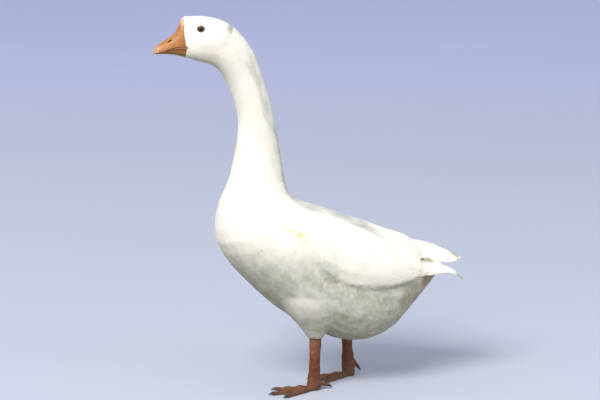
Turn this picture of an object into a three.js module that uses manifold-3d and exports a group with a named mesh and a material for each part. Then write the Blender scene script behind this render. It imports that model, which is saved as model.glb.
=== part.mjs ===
// A domestic goose standing at life size, in mid-step with its left foot forward.
// Millimetres, +Z up, the bill towards -Y and the bird's left side at +X.
// The whole body is one form, parted by thin cuts into head, neck, trunk, wings, tail and legs.

import * as THREE from "three";
import { mergeVertices } from "three/addons/utils/BufferGeometryUtils.js";
import Module from "manifold-3d";

const wasm = await Module();
wasm.setup();

// ---------------------------------------------------------------- driving dimensions

const GAP = 0.3; // the thin cut between two neighbouring pieces
const REACH = 2000; // larger than the bird, for the boxes that cut it
const AROUND = 28; // facets round the body
const STEPS_PER_RIB = 1.5; // rings from one rib to the next, of the body and of a wing

// The body's ribs from the bill's root to the tail's root. Each rib runs from a point on the upper
// outline (back) to one on the lower outline (front), both as [y, z]. half is the half-width there,
// low moves the widest place towards the front outline, and full squares the section off.
const RIBS = [
  { name: "bill_root", back: [-209.6, 669], front: [-203, 598.6], half: 17.5, low: 0.22, full: 2.1 },
  { name: "lores", back: [-197, 672], front: [-190, 594.5], half: 22.5, low: 0.2, full: 2.15 },
  { name: "brow", back: [-178, 672], front: [-172, 589.5], half: 28, low: 0.16, full: 2.2 },
  { name: "cheek", back: [-154, 668.5], front: [-153, 582], half: 31.5, low: 0.14, full: 2.1 },
  { name: "occiput", back: [-131, 659.5], front: [-142, 569.5], half: 31.5, low: 0.1, full: 2.05 },
  { name: "nape", back: [-106.5, 639.5], front: [-132, 552], half: 29.5, low: 0.05, full: 2 },
  { name: "throat", back: [-84.5, 608.5], front: [-123, 531], half: 27.5, low: 0, full: 2 },
  { name: "neck_top", back: [-69, 565], front: [-116, 507.5], half: 27, low: 0, full: 2 },
  { name: "neck_high", back: [-55.5, 521], front: [-112.5, 481], half: 27.5, low: 0, full: 2 },
  { name: "neck_mid", back: [-46, 478], front: [-114.5, 450], half: 30, low: 0, full: 2 },
  { name: "neck_low", back: [-37.5, 434], front: [-121, 417], half: 35, low: 0, full: 2 },
  { name: "neck_root", back: [-30.5, 390], front: [-130, 378], half: 44, low: 0, full: 2.05 },
  { name: "crop", back: [-22, 355], front: [-145.5, 344], half: 60, low: 0, full: 2.1 },
  { name: "shoulder", back: [1, 338], front: [-154.5, 306], half: 77, low: 0, full: 2.15 },
  { name: "breast", back: [27, 330], front: [-152.5, 270], half: 89, low: 0, full: 2.2 },
  { name: "girth", back: [55, 321], front: [-134, 235], half: 97, low: 0, full: 2.2 },
  { name: "saddle", back: [83, 310], front: [-104, 201], half: 103, low: 0, full: 2.2 },
  { name: "flank", back: [111, 299], front: [-65, 162], half: 106, low: 0.02, full: 2.2 },
  { name: "loin", back: [138, 287], front: [-16, 124], half: 106, low: 0.04, full: 2.2 },
  { name: "belly", back: [160, 276], front: [36, 95], half: 103, low: 0.06, full: 2.2 },
  { name: "abdomen", back: [178, 268.5], front: [86, 80], half: 97, low: 0.06, full: 2.2 },
  { name: "pouch", back: [193, 261], front: [131, 84], half: 87, low: 0.06, full: 2.15 },
  { name: "rump", back: [208, 254.5], front: [167.5, 103], half: 73, low: 0.04, full: 2.1 },
  { name: "vent", back: [223, 249], front: [197.5, 133.5], half: 57, low: 0.02, full: 2.05 },
  { name: "under_tail", back: [238, 243.5], front: [222.5, 160], half: 42, low: 0, full: 2 },
  { name: "tail_root", back: [253, 237.5], front: [244, 184], half: 28, low: 0, full: 2 },
  { name: "tail_base", back: [264, 232], front: [260, 205], half: 16, low: 0, full: 2 },
];
const RIB_OF = Object.fromEntries(RIBS.map((rib, i) => [rib.name, i]));

// Where the body is parted: a cut runs through the rib of this number, counted in ribs.
const CUTS = { head: RIB_OF.throat, neck: RIB_OF.neck_mid, trunk: RIB_OF.neck_root + 0.55 };

// The bill's ribs from root to tip: culmen (top outline), tomium (the line of the mouth) and
// chin (bottom outline) as [y, z], with the half-widths of the upper and the lower half.
const BILL = [
  { culmen: [-210, 669], tomium: [-205.2, 617.4], chin: [-202.8, 599], upper: 17.5, lower: 15 },
  { culmen: [-215, 663.5], tomium: [-211.5, 619.2], chin: [-211, 601.4], upper: 16.8, lower: 14.4 },
  { culmen: [-218.6, 653], tomium: [-219, 619], chin: [-218.5, 603.4], upper: 16, lower: 13.4 },
  { culmen: [-224.2, 643.2], tomium: [-227, 617.6], chin: [-226.5, 605], upper: 15, lower: 12.4 },
  { culmen: [-236.6, 633.8], tomium: [-237, 614.8], chin: [-237, 606], upper: 13.8, lower: 11 },
  { culmen: [-246.5, 628.2], tomium: [-246.5, 611.6], chin: [-246.5, 606.2], upper: 12.4, lower: 9.2 },
  { culmen: [-255, 622.6], tomium: [-255, 609.2], chin: [-254.5, 606.4], upper: 10.2, lower: 6.6 },
  { culmen: [-260.6, 616.6], tomium: [-260.4, 607.4], chin: [-258, 606.2], upper: 7, lower: 3.6 },
  { culmen: [-263.4, 611.6], tomium: [-262.8, 606.8], chin: null, upper: 3, lower: 0 },
];
const NAIL_CUT = -253.2; // the nail is the bill's hard tip, forward of this y

const NOSTRIL = { at: [12, -236, 629.6], half: [4, 4.4, 1.5], slope: 20 }; // slope in degrees

const EYE = { at: [17.1, -181, 650.4], radius: 7.6 }; // the left one

// The folded left wing, from the shoulder to the tips of the secondaries. Each row runs down the outer
// face from a point on the upper edge to one on the lower edge, as [x, y, z]; belly is how far the
// middle of the row stands out from the straight line between them, and deep is how far the wing's
// inner face lies inside its outer one, before the trunk is cut away.
const WING = [
  { top: [78, -20, 316], low: [98, -12, 278], belly: 4, deep: 12 },
  { top: [68, 0, 330], low: [106, 4, 252], belly: 11, deep: 20 },
  { top: [62, 24, 328.5], low: [110, 18, 229], belly: 21, deep: 24 },
  { top: [60, 50, 321.5], low: [110.5, 46, 211], belly: 24, deep: 26 },
  { top: [57, 80, 307.5], low: [109, 74, 199.5], belly: 26, deep: 26 },
  { top: [54, 110, 292.5], low: [105, 106, 193], belly: 25, deep: 26 },
  { top: [49, 140, 278], low: [99, 138, 191.5], belly: 23, deep: 25 },
  { top: [44, 164, 265], low: [91, 166, 196], belly: 19, deep: 22 },
  { top: [42, 188, 254], low: [79, 194, 201], belly: 13, deep: 14 },
  { top: [41, 207, 244], low: [69, 213, 204.5], belly: 8, deep: 8 },
  { top: [44, 215, 233.5], low: [63, 229, 205], belly: 5, deep: 5.5 },
  { top: [46, 229, 225], low: [56, 246, 206], belly: 3.5, deep: 4 },
  { top: [46.5, 252, 220.5], low: [50, 264, 209.5], belly: 1.5, deep: 3 },
  { top: [46, 275, 216], low: [46.5, 278, 213], belly: 0.3, deep: 2.4 },
];
const WING_ROWS = 6; // facets from a wing's upper to its lower edge
const WING_EDGE = 0.35; // share of its depth that a wing keeps at its two edges

// The folded primaries, as long curved vanes one below another: the upper one's midline on the left side.
const PRIMARIES = {
  count: 3,
  line: [
    [60, 172, 218],
    [56, 205, 228],
    [50, 235, 231],
    [46, 257, 225],
    [44, 273, 214.5],
    [43, 285, 201.5],
    [42, 295, 188],
  ],
  width: 19,
  thick: 2,
  face: [0.35, 0.35, 0.87], // the way their flat sides face
  step: -4.5, // each vane lies this far inside the one before it
  shorter: 0.11, // and ends this share of the length before it
  lift: { left: 0, right: 27 }, // how much higher the tips are carried
};

// The tertials: one broad leaf of feathers over each side of the rump. Each row lies across a rib of the
// body (counted in ribs) from the midline out to an angle round the rib, in degrees, and stands off by rise.
const TERTIALS = [
  { rib: 17.6, angle: 26, rise: 0.6 },
  { rib: 18.6, angle: 36, rise: 1.4 },
  { rib: 19.6, angle: 41, rise: 3.2 },
  { rib: 20.6, angle: 42, rise: 5.5 },
  { rib: 21.6, angle: 39, rise: 5.2 },
  { rib: 22.5, angle: 28, rise: 3.8 },
  { rib: 23.2, angle: 12, rise: 2 },
];
const TERTIAL_ROOT_DEPTH = 4; // how far their inner face starts inside the trunk, before it is cut

// The closed tail. Each feather runs from a root inside the rump to its tip; the outer ones lie lower.
const TAIL = {
  count: 7,
  root: { middle: [0, 188, 259], outer: [13, 188, 253] },
  tip: { middle: [0, 302, 224], outer: [32, 289, 231] },
  width: 26,
  thick: 2.4,
  arch: 5,
};

// The legs. at is where the shank's axis meets the floor, and joint is the height of the cut between shank
// and foot. heading turns the foot outwards, in degrees, and fan is how far its toes are spread.
const LEGS = {
  left: {
    side: 1,
    at: [52, 14.5],
    ankle: [46.5, 18.5, 94.5],
    hip: [53, 10, 158],
    joint: 20,
    heading: 16,
    fan: 1,
    hallux: { height: 14, length: 21, slope: 0.3 },
  },
  right: {
    side: -1,
    at: [-40, 101],
    ankle: [-40, 96.5, 80],
    hip: [-53, 66, 150],
    joint: 38,
    heading: -25,
    fan: 0.68,
    hallux: { height: 30, length: 25, slope: 0.95 },
  },
};
const THIGH = [
  // rings from inside the trunk down to the ankle: share of the way from hip to ankle, half sizes
  { share: -1.1, across: 12, along: 18 },
  { share: -0.6, across: 30, along: 40 },
  { share: -0.1, across: 42, along: 53 },
  { share: 0.35, across: 37, along: 44 },
  { share: 0.72, across: 23, along: 25.5 },
  { share: 0.9, across: 16, along: 17 },
  { share: 1, across: 11.8, along: 13.2 },
];
const SHANK = [
  // rings down the shank: share of its height, half sizes
  { share: 1, across: 8.8, along: 11.4 },
  { share: 0.84, across: 9.4, along: 11.8 },
  { share: 0.66, across: 8.2, along: 10.8 },
  { share: 0.42, across: 7.6, along: 10.5 },
  { share: 0.16, across: 8.2, along: 11.4 },
  { share: 0, across: 9.4, along: 12.8 },
];
const TOES = {
  inner: { angle: -25, length: 64, half: 5.2, high: 8.4 },
  middle: { angle: 0, length: 78, half: 5.6, high: 9 },
  outer: { angle: 23, length: 71, half: 5.2, high: 8.4 },
};
const TOE_START = 4; // the toes fan out from this far in front of the shank's axis
const TOE_JOINTS = 3; // swellings along a toe
const SWELL = 0.13; // share by which a joint is thicker
const WEB = { under: 0.6, thick: 2.2, sag: 13 };
const HALLUX = { root: 6, half: 4.2, turn: -12 };
const CLAW = { length: 9.5, half: 2.9, tip: 0.7, drop: 2 };

// ---------------------------------------------------------------- materials

const paint = (colour, roughness) =>
  new THREE.MeshStandardMaterial({ color: colour, roughness, metalness: 0 });
const PLUMAGE = paint(0xf2f1ea, 0.85);
const FLIGHT = paint(0xeeece4, 0.75);
const BILL_ORANGE = paint(0xdc8a45, 0.45);
const NAIL_HORN = paint(0xd9a878, 0.4);
const LEG_ORANGE = paint(0xa9573a, 0.6);
const CLAW_HORN = paint(0x55524a, 0.45);
const EYE_DARK = paint(0x17120d, 0.1);

// ---------------------------------------------------------------- small tools

const DEG = Math.PI / 180;
const mix = THREE.MathUtils.lerp;
const side = ([y, z]) => new THREE.Vector3(0, y, z);

/** A smooth run of values through a list: at(i) gives the value at rib number i, whole or not. */
function smooth(values) {
  const curve = new THREE.CatmullRomCurve3(values, false, "centripetal");
  return (i) => curve.getPoint(THREE.MathUtils.clamp(i / (values.length - 1), 0, 1));
}

/** Evenly spaced rib numbers from 0 to last. */
function stations(last) {
  const count = Math.round(last * STEPS_PER_RIB);
  return Array.from({ length: count + 1 }, (_, k) => (k * last) / count);
}

/** A closed surface over rings of equally many points, with a fan of facets at each end. */
function loft(rings) {
  const around = rings[0].length;
  const points = rings.flat();
  const faces = [];
  const at = (ring, k) => ring * around + (k % around);
  for (let r = 0; r + 1 < rings.length; r++)
    for (let k = 0; k < around; k++) {
      faces.push(at(r, k), at(r, k + 1), at(r + 1, k + 1));
      faces.push(at(r, k), at(r + 1, k + 1), at(r + 1, k));
    }
  for (const end of [0, rings.length - 1]) {
    const middle = rings[end].reduce((sum, p) => sum.add(p), new THREE.Vector3()).divideScalar(around);
    points.push(middle);
    for (let k = 0; k < around; k++)
      faces.push(points.length - 1, ...(end ? [at(end, k), at(end, k + 1)] : [at(end, k + 1), at(end, k)]));
  }
  return new THREE.BufferGeometry().setFromPoints(points).setIndex(faces);
}

/** A closed geometry as a manifold-3d solid, turned the right way out. */
function solid(geometry) {
  const bare = geometry.clone();
  for (const name of Object.keys(bare.attributes)) if (name !== "position") bare.deleteAttribute(name);
  const merged = mergeVertices(bare, 1e-4);
  const build = (flip) => {
    const faces = new Uint32Array(merged.index.array);
    if (flip)
      for (let i = 0; i < faces.length; i += 3) [faces[i + 1], faces[i + 2]] = [faces[i + 2], faces[i + 1]];
    const positions = new Float32Array(merged.attributes.position.array);
    return new wasm.Manifold(new wasm.Mesh({ numProp: 3, vertProperties: positions, triVerts: faces }));
  };
  const made = build(false);
  return made.volume() < 0 ? build(true) : made;
}

/** A manifold-3d solid as a named mesh. */
function piece(name, shape, material) {
  const mesh = shape.getMesh();
  const positions = new Float32Array(mesh.numVert * 3);
  for (let i = 0; i < mesh.numVert; i++)
    positions.set(mesh.vertProperties.subarray(i * mesh.numProp, i * mesh.numProp + 3), i * 3);
  const geometry = new THREE.BufferGeometry();
  geometry.setAttribute("position", new THREE.BufferAttribute(positions, 3));
  geometry.setIndex(new THREE.BufferAttribute(new Uint32Array(mesh.triVerts), 1));
  geometry.computeVertexNormals();
  const made = new THREE.Mesh(geometry, material);
  made.name = name;
  return made;
}

const join = (solids) => solids.reduce((a, b) => a.add(b));

/** A shape with others cut away, without the crumbs that a shallow cut leaves. */
function cut(shape, ...others) {
  const bodies = shape.subtract(join(others)).decompose();
  return bodies.reduce((a, b) => (b.volume() > a.volume() ? b : a));
}

/** The part of a shape on the side of a plane that its normal points to, half a gap off the plane. */
function beyond(shape, point, normal) {
  const box = new THREE.BoxGeometry(REACH, REACH, REACH);
  const out = normal.clone().normalize();
  const turn = new THREE.Quaternion().setFromUnitVectors(new THREE.Vector3(0, 0, 1), out);
  box.applyQuaternion(turn);
  box.translate(...point.clone().addScaledVector(out, REACH / 2 + GAP / 2).toArray());
  return shape.intersect(solid(box));
}

// ---------------------------------------------------------------- head, neck and trunk

const backLine = smooth(RIBS.map((rib) => side(rib.back)));
const frontLine = smooth(RIBS.map((rib) => side(rib.front)));
const girth = smooth(RIBS.map((rib) => new THREE.Vector3(rib.half, rib.low * 100, rib.full * 10)));

const power = (value, exponent) => Math.sign(value) * Math.abs(value) ** exponent;

/** The point of the body at rib number i, turned from the back by an angle, and grown outwards by grow. */
function bodyPoint(i, turn, grow = 0) {
  const back = backLine(i);
  const middle = back.clone().add(frontLine(i)).divideScalar(2);
  const reach = back.clone().sub(middle);
  reach.setLength(reach.length() + grow);
  const { x: half, y: low, z: full } = girth(i);
  const up = power(Math.cos(turn), 20 / full);
  const out = power(Math.sin(turn), 20 / full) * (half + grow) * (1 - (low / 100) * up);
  return middle.addScaledVector(reach, up).setX(out);
}

/** The ring of the body at rib number i. */
function bodyRing(i, grow) {
  return Array.from({ length: AROUND }, (_, k) => bodyPoint(i, (2 * Math.PI * k) / AROUND, grow));
}

/** The whole body as one solid. */
function body(grow = 0) {
  return solid(loft(stations(RIBS.length - 1).map((i) => bodyRing(i, grow))));
}

/** The plane through the rib of number i, with its normal towards the tail. */
function ribPlane(i) {
  const back = backLine(i);
  const along = back.clone().sub(frontLine(i)).normalize();
  const normal = along.clone().cross(new THREE.Vector3(1, 0, 0));
  const forward = backLine(i + 0.1).add(frontLine(i + 0.1)).sub(backLine(i)).sub(frontLine(i));
  return { point: back, normal: normal.dot(forward) < 0 ? normal.negate() : normal };
}

/** The whole body parted at its cuts. */
function partedBody(whole) {
  const planes = Object.fromEntries(Object.entries(CUTS).map(([name, i]) => [name, ribPlane(i)]));
  const before = (shape, { point, normal }) => beyond(shape, point, normal.clone().negate());
  const after = (shape, { point, normal }) => beyond(shape, point, normal);
  return {
    head: before(whole, planes.head),
    neck_upper: before(after(whole, planes.head), planes.neck),
    neck_lower: before(after(whole, planes.neck), planes.trunk),
    trunk: after(whole, planes.trunk),
  };
}

// ---------------------------------------------------------------- bill and eyes

const DOME_FACETS = 14;

/** Half a section of the bill: a dome from one edge of the mouth over crest to the other. */
function domeRing(mouth, crest, half, full, lift) {
  const rise = side(crest).sub(side(mouth));
  const arc = Array.from({ length: DOME_FACETS + 1 }, (_, k) => {
    const turn = -Math.PI / 2 + (Math.PI * k) / DOME_FACETS;
    return side(mouth)
      .addScaledVector(rise, Math.cos(turn) ** (2 / full))
      .setX(half * power(Math.sin(turn), 2 / full));
  });
  for (const p of arc) p.z += lift;
  const floor = side(mouth);
  floor.z += lift;
  return [...arc, floor];
}

function nostril(sign) {
  const hollow = new THREE.SphereGeometry(1, 10, 6).scale(...NOSTRIL.half);
  hollow.rotateX(NOSTRIL.slope * DEG);
  return solid(hollow.translate(sign * NOSTRIL.at[0], NOSTRIL.at[1], NOSTRIL.at[2]));
}

function billPieces(head) {
  const upperRings = BILL.map((rib, k) =>
    domeRing(rib.tomium, rib.culmen, rib.upper, mix(1.75, 2.1, k / (BILL.length - 1)), GAP / 2),
  );
  const lowerRings = BILL.filter((rib) => rib.chin).map((rib) =>
    domeRing(rib.tomium, rib.chin, rib.lower, 2, -GAP / 2),
  );
  const upper = cut(solid(loft(upperRings)), head, nostril(1), nostril(-1));
  const lower = cut(solid(loft(lowerRings)), head);
  const nailRoot = new THREE.Vector3(0, NAIL_CUT, 0);
  return {
    upper: beyond(upper, nailRoot, new THREE.Vector3(0, 1, 0)),
    nail: beyond(upper, nailRoot, new THREE.Vector3(0, -1, 0)),
    lower,
  };
}

function eyeBall(sign, radius) {
  const [x, y, z] = EYE.at;
  return solid(new THREE.SphereGeometry(radius, 12, 8).translate(sign * x, y, z));
}

// ---------------------------------------------------------------- wings

const spot = ([x, y, z]) => new THREE.Vector3(x, y, z);
const wingTop = smooth(WING.map((row) => spot(row.top)));
const wingLow = smooth(WING.map((row) => spot(row.low)));
const wingForm = smooth(WING.map((row) => new THREE.Vector3(row.belly, row.deep, 0)));

/** One closed ring across the left wing at row i: down its outer face and back up its inner one. */
function wingRing(i, grow) {
  const { x: belly, y: deep } = wingForm(i);
  const top = wingTop(i);
  const low = wingLow(i);
  const down = low.clone().sub(top).normalize();
  const outwards = new THREE.Vector3(1, 0, 0).addScaledVector(down, -down.x).normalize();
  top.addScaledVector(down, -grow);
  low.addScaledVector(down, grow);
  const outer = [];
  const inner = [];
  for (let k = 0; k <= WING_ROWS; k++) {
    const t = k / WING_ROWS;
    const rounded = 1 - Math.abs(2 * t - 1) ** 2.2;
    const skin = top.clone().lerp(low, t).addScaledVector(outwards, belly * rounded + grow);
    outer.push(skin);
    inner.push(skin.clone().addScaledVector(outwards, -deep * mix(WING_EDGE, 1, rounded) - 2 * grow));
  }
  return [...outer, ...inner.reverse()];
}

function wing(grow = 0) {
  return solid(loft(stations(WING.length - 1).map((i) => wingRing(i, grow))));
}

/** A flat feather along a line, with a rounded end, grown by grow all round. */
function vane(line, { width, thick }, face, grow = 0) {
  const deep = thick / 2 + grow;
  const rings = [0, 0.25, 0.5, 0.72, 0.87, 0.96, 1].map((s) => {
    const half = (width / 2 + grow) * Math.sqrt(Math.max(0.02, 1 - Math.max(0, (s - 0.6) / 0.41) ** 2));
    const along = line.getTangentAt(s);
    const across = along.clone().cross(face).normalize();
    const up = across.clone().cross(along).normalize();
    return [
      [-half, 0],
      [0, deep],
      [half, 0],
      [0, -deep],
    ].map(([a, b]) => line.getPointAt(s).addScaledVector(across, a).addScaledVector(up, b));
  });
  return solid(loft(rings));
}

/** A line from root to tip that stands arch higher half way. */
function bow(root, tip, arch) {
  const middle = root.clone().add(tip).divideScalar(2).add(new THREE.Vector3(0, 0, 2 * arch));
  return new THREE.QuadraticBezierCurve3(root, middle, tip);
}

function primaries(lift) {
  const last = PRIMARIES.line.length - 1;
  const midline = new THREE.CatmullRomCurve3(PRIMARIES.line.map(spot));
  const vanes = Array.from({ length: PRIMARIES.count }, (_, k) => {
    const points = PRIMARIES.line.map((_, i) => {
      const share = i / last;
      const end = share * (1 - PRIMARIES.shorter * k);
      return midline.getPoint(end).add(new THREE.Vector3(PRIMARIES.step * k * share, 0, lift * end * end));
    });
    return vane(new THREE.CatmullRomCurve3(points), PRIMARIES, spot(PRIMARIES.face));
  });
  return join(vanes);
}

/** The left tertials, a shell over the rump from the midline outwards. */
function tertials() {
  const columns = 4;
  const rings = TERTIALS.map(({ rib, angle, rise }) => {
    const shares = Array.from({ length: columns + 1 }, (_, k) => k / columns);
    const across = (grow) => shares.map((share) => bodyPoint(rib, angle * DEG * share, grow(share)));
    const outer = across((share) => rise * Math.sqrt(1 - 0.96 * share * share));
    return [...outer, ...across(() => -TERTIAL_ROOT_DEPTH).reverse()];
  });
  return beyond(solid(loft(rings)), new THREE.Vector3(), new THREE.Vector3(1, 0, 0));
}

function tail(grow = 0) {
  const middle = (TAIL.count - 1) / 2;
  const between = ({ middle: centre, outer }, share) => {
    const point = spot(centre).lerp(spot(outer), Math.abs(share));
    return point.setX(point.x * Math.sign(share));
  };
  return join(
    Array.from({ length: TAIL.count }, (_, k) => {
      const share = (k - middle) / middle; // -1 at the right edge of the fan, 1 at the left
      const line = bow(between(TAIL.root, share), between(TAIL.tip, share), TAIL.arch);
      return vane(line, TAIL, new THREE.Vector3(share * 0.35, 0, 1), grow);
    }),
  );
}

// ---------------------------------------------------------------- legs

const SHANK_FACETS = 12;
const THIGH_FACETS = 20;

/** A level ellipse of leg, turned by heading about the vertical. */
function levelRing(centre, across, along, heading, facets = SHANK_FACETS) {
  return Array.from({ length: facets }, (_, k) => {
    const turn = (2 * Math.PI * k) / facets;
    const point = new THREE.Vector3(across * Math.cos(turn), along * Math.sin(turn), 0);
    return point.applyAxisAngle(new THREE.Vector3(0, 0, 1), heading).add(centre);
  });
}

function thigh(leg) {
  const rings = THIGH.map(({ share, across, along }) =>
    levelRing(spot(leg.hip).lerp(spot(leg.ankle), share), across, along, 0, THIGH_FACETS),
  );
  return solid(loft(rings.reverse()));
}

/** The point of a leg's axis at a height, from the floor up to the ankle. */
function legAxis(leg, height) {
  return new THREE.Vector3(leg.at[0], leg.at[1], 0).lerp(spot(leg.ankle), height / leg.ankle[2]);
}

function shank(leg) {
  const turn = leg.side * leg.heading * DEG;
  const rings = SHANK.map(({ share, across, along }) =>
    levelRing(legAxis(leg, mix(leg.joint + GAP, leg.ankle[2] - GAP, share)), across, along, turn),
  );
  return solid(loft(rings.reverse()));
}

/** The floor point and the direction of a toe of one leg. */
function toeLine(leg, toe) {
  const turn = leg.side * (leg.heading + leg.fan * toe.angle) * DEG;
  const way = new THREE.Vector3(Math.sin(turn), -Math.cos(turn), 0);
  const heading = leg.side * leg.heading * DEG;
  const start = new THREE.Vector3(leg.at[0], leg.at[1], 0);
  start.add(new THREE.Vector3(Math.sin(heading), -Math.cos(heading), 0).multiplyScalar(TOE_START));
  return { start, way };
}

/** A half-round section standing on its flat underside, across the direction way. */
function soleRing(centre, way, half, high) {
  const across = new THREE.Vector3(-way.y, way.x, 0);
  const facets = 6;
  return Array.from({ length: facets + 1 }, (_, k) => {
    const turn = (Math.PI * k) / facets;
    return centre
      .clone()
      .addScaledVector(across, half * Math.cos(turn))
      .setZ(centre.z + high * Math.sin(turn) ** 0.8);
  });
}

function toeSolid(leg, toe) {
  const { start, way } = toeLine(leg, toe);
  const rings = 7;
  return solid(
    loft(
      Array.from({ length: rings }, (_, k) => {
        const s = k / (rings - 1);
        const joint = 1 + SWELL * Math.cos(2 * Math.PI * TOE_JOINTS * s);
        const taper = mix(1.25, 0.72, s) * joint;
        const centre = start.clone().addScaledVector(way, toe.length * s);
        return soleRing(centre, way, toe.half * taper, toe.high * taper);
      }),
    ),
  );
}

/** The web between the toes, its front edge drawn in between each two tips. */
function web(leg) {
  const tips = Object.values(TOES).map((toe) => {
    const { start, way } = toeLine(leg, toe);
    return start.clone().addScaledVector(way, toe.length - 3);
  });
  const root = toeLine(leg, TOES.middle).start;
  const outline = new THREE.Shape().moveTo(root.x, root.y).lineTo(tips[0].x, tips[0].y);
  for (let k = 1; k < tips.length; k++) {
    const bay = tips[k - 1].clone().add(tips[k]).divideScalar(2);
    bay.addScaledVector(root.clone().sub(bay).normalize(), 2 * WEB.sag);
    outline.quadraticCurveTo(bay.x, bay.y, tips[k].x, tips[k].y);
  }
  outline.lineTo(root.x, root.y);
  const sheet = { depth: WEB.thick, bevelEnabled: false, curveSegments: 5 };
  return solid(new THREE.ExtrudeGeometry(outline, sheet).translate(0, 0, WEB.under));
}

/** The heel under the shank, from the floor up to the joint. */
function heel(leg) {
  const turn = leg.side * leg.heading * DEG;
  const end = SHANK.at(-1);
  const rings = [
    [0, 0.86],
    [0.15, 1.02],
    [0.6, 1.07],
    [1, 1],
  ].map(([share, size]) => {
    return levelRing(legAxis(leg, leg.joint * share), end.across * size, end.along * size, turn);
  });
  return solid(loft(rings));
}

function foot(leg) {
  return join([...Object.values(TOES).map((toe) => toeSolid(leg, toe)), web(leg), heel(leg), hallux(leg)]);
}

/** A short curved cone, from its root along way, its tip dropped a little. */
function spur(root, way, half, tipHalf, length, drop, facets = 7) {
  const rings = [0, 0.5, 1].map((s) => {
    const centre = root.clone().addScaledVector(way, length * s);
    centre.z -= drop * s * s;
    const across = new THREE.Vector3(-way.y, way.x, 0).normalize();
    const up = across.clone().cross(way).normalize();
    if (up.z < 0) up.negate();
    const size = mix(half, tipHalf, s ** 1.3);
    return Array.from({ length: facets }, (_, k) => {
      const turn = (2 * Math.PI * k) / facets;
      return centre
        .clone()
        .addScaledVector(across, size * Math.cos(turn))
        .addScaledVector(up, size * Math.sin(turn));
    });
  });
  return solid(loft(rings));
}

function toeClaw(leg, toe) {
  const { start, way } = toeLine(leg, toe);
  const root = start.clone().addScaledVector(way, toe.length + GAP).setZ(CLAW.half + CLAW.drop - 0.6);
  return spur(root, way, CLAW.half, CLAW.tip, CLAW.length, CLAW.drop);
}

function halluxLine(leg) {
  const turn = leg.side * (leg.heading + HALLUX.turn) * DEG;
  const way = new THREE.Vector3(-Math.sin(turn), Math.cos(turn), -leg.hallux.slope).normalize();
  return { root: new THREE.Vector3(leg.at[0], leg.at[1] + HALLUX.root, leg.hallux.height), way };
}

function hallux(leg) {
  const { root, way } = halluxLine(leg);
  return spur(root, way, HALLUX.half * 1.2, HALLUX.half * 0.72, leg.hallux.length, 0);
}

function hindClaw(leg) {
  const { root, way } = halluxLine(leg);
  const start = root.clone().addScaledVector(way, leg.hallux.length + GAP);
  return spur(start, way, HALLUX.half * 0.7, CLAW.tip, CLAW.length * 0.9, CLAW.drop);
}

// ---------------------------------------------------------------- the bird

const goose = new THREE.Group();
const add = (name, shape, material) => goose.add(piece(name, shape, material));
const mirrored = (shape) => shape.mirror([1, 0, 0]);

const whole = body();
const grown = body(GAP);
const parts = partedBody(whole);
const bill = billPieces(grown);

const sockets = [1, -1].map((sign) => eyeBall(sign, EYE.radius + GAP));
add("head", cut(parts.head, ...sockets), PLUMAGE);
for (const name of ["neck_upper", "neck_lower"]) add(name, parts[name], PLUMAGE);
add("bill_upper", bill.upper, BILL_ORANGE);
add("bill_nail", bill.nail, NAIL_HORN);
add("bill_lower", bill.lower, BILL_ORANGE);
add("eye_left", eyeBall(1, EYE.radius), EYE_DARK);
add("eye_right", eyeBall(-1, EYE.radius), EYE_DARK);
add("trunk", parts.trunk, PLUMAGE);

add("wing_left", cut(wing(), grown), PLUMAGE);
add("wing_right", cut(mirrored(wing()), grown), PLUMAGE);
add("tail", cut(tail(), grown), FLIGHT);
const leftNeighbours = [grown, wing(GAP)];
const rightNeighbours = [grown, mirrored(wing(GAP))];
add("primaries_left", cut(primaries(PRIMARIES.lift.left), ...leftNeighbours), FLIGHT);
add("primaries_right", cut(mirrored(primaries(PRIMARIES.lift.right)), ...rightNeighbours), FLIGHT);
add("tertials_left", cut(tertials(), ...leftNeighbours, tail(GAP)), PLUMAGE);
add("tertials_right", cut(mirrored(tertials()), ...rightNeighbours, tail(GAP)), PLUMAGE);

for (const [name, leg] of Object.entries(LEGS)) {
  add(`thigh_${name}`, cut(thigh(leg), grown), PLUMAGE);
  add(`shank_${name}`, cut(shank(leg), grown), LEG_ORANGE);
  add(`foot_${name}`, foot(leg), LEG_ORANGE);
  for (const [toe, line] of Object.entries(TOES)) add(`claw_${name}_${toe}`, toeClaw(leg, line), CLAW_HORN);
  add(`claw_${name}_hind`, hindClaw(leg), CLAW_HORN);
}

// The origin is on the floor, under the middle of the bird's box.
const box = new THREE.Box3().setFromObject(goose);
const middle = box.getCenter(new THREE.Vector3());
goose.position.set(-middle.x, -middle.y, -box.min.z);

export default goose;
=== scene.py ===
import math
from contextlib import contextmanager

import bmesh
import bpy
import numpy as np
from mathutils import Matrix, Vector, noise
from mathutils.bvhtree import BVHTree
from mathutils.kdtree import KDTree


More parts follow.
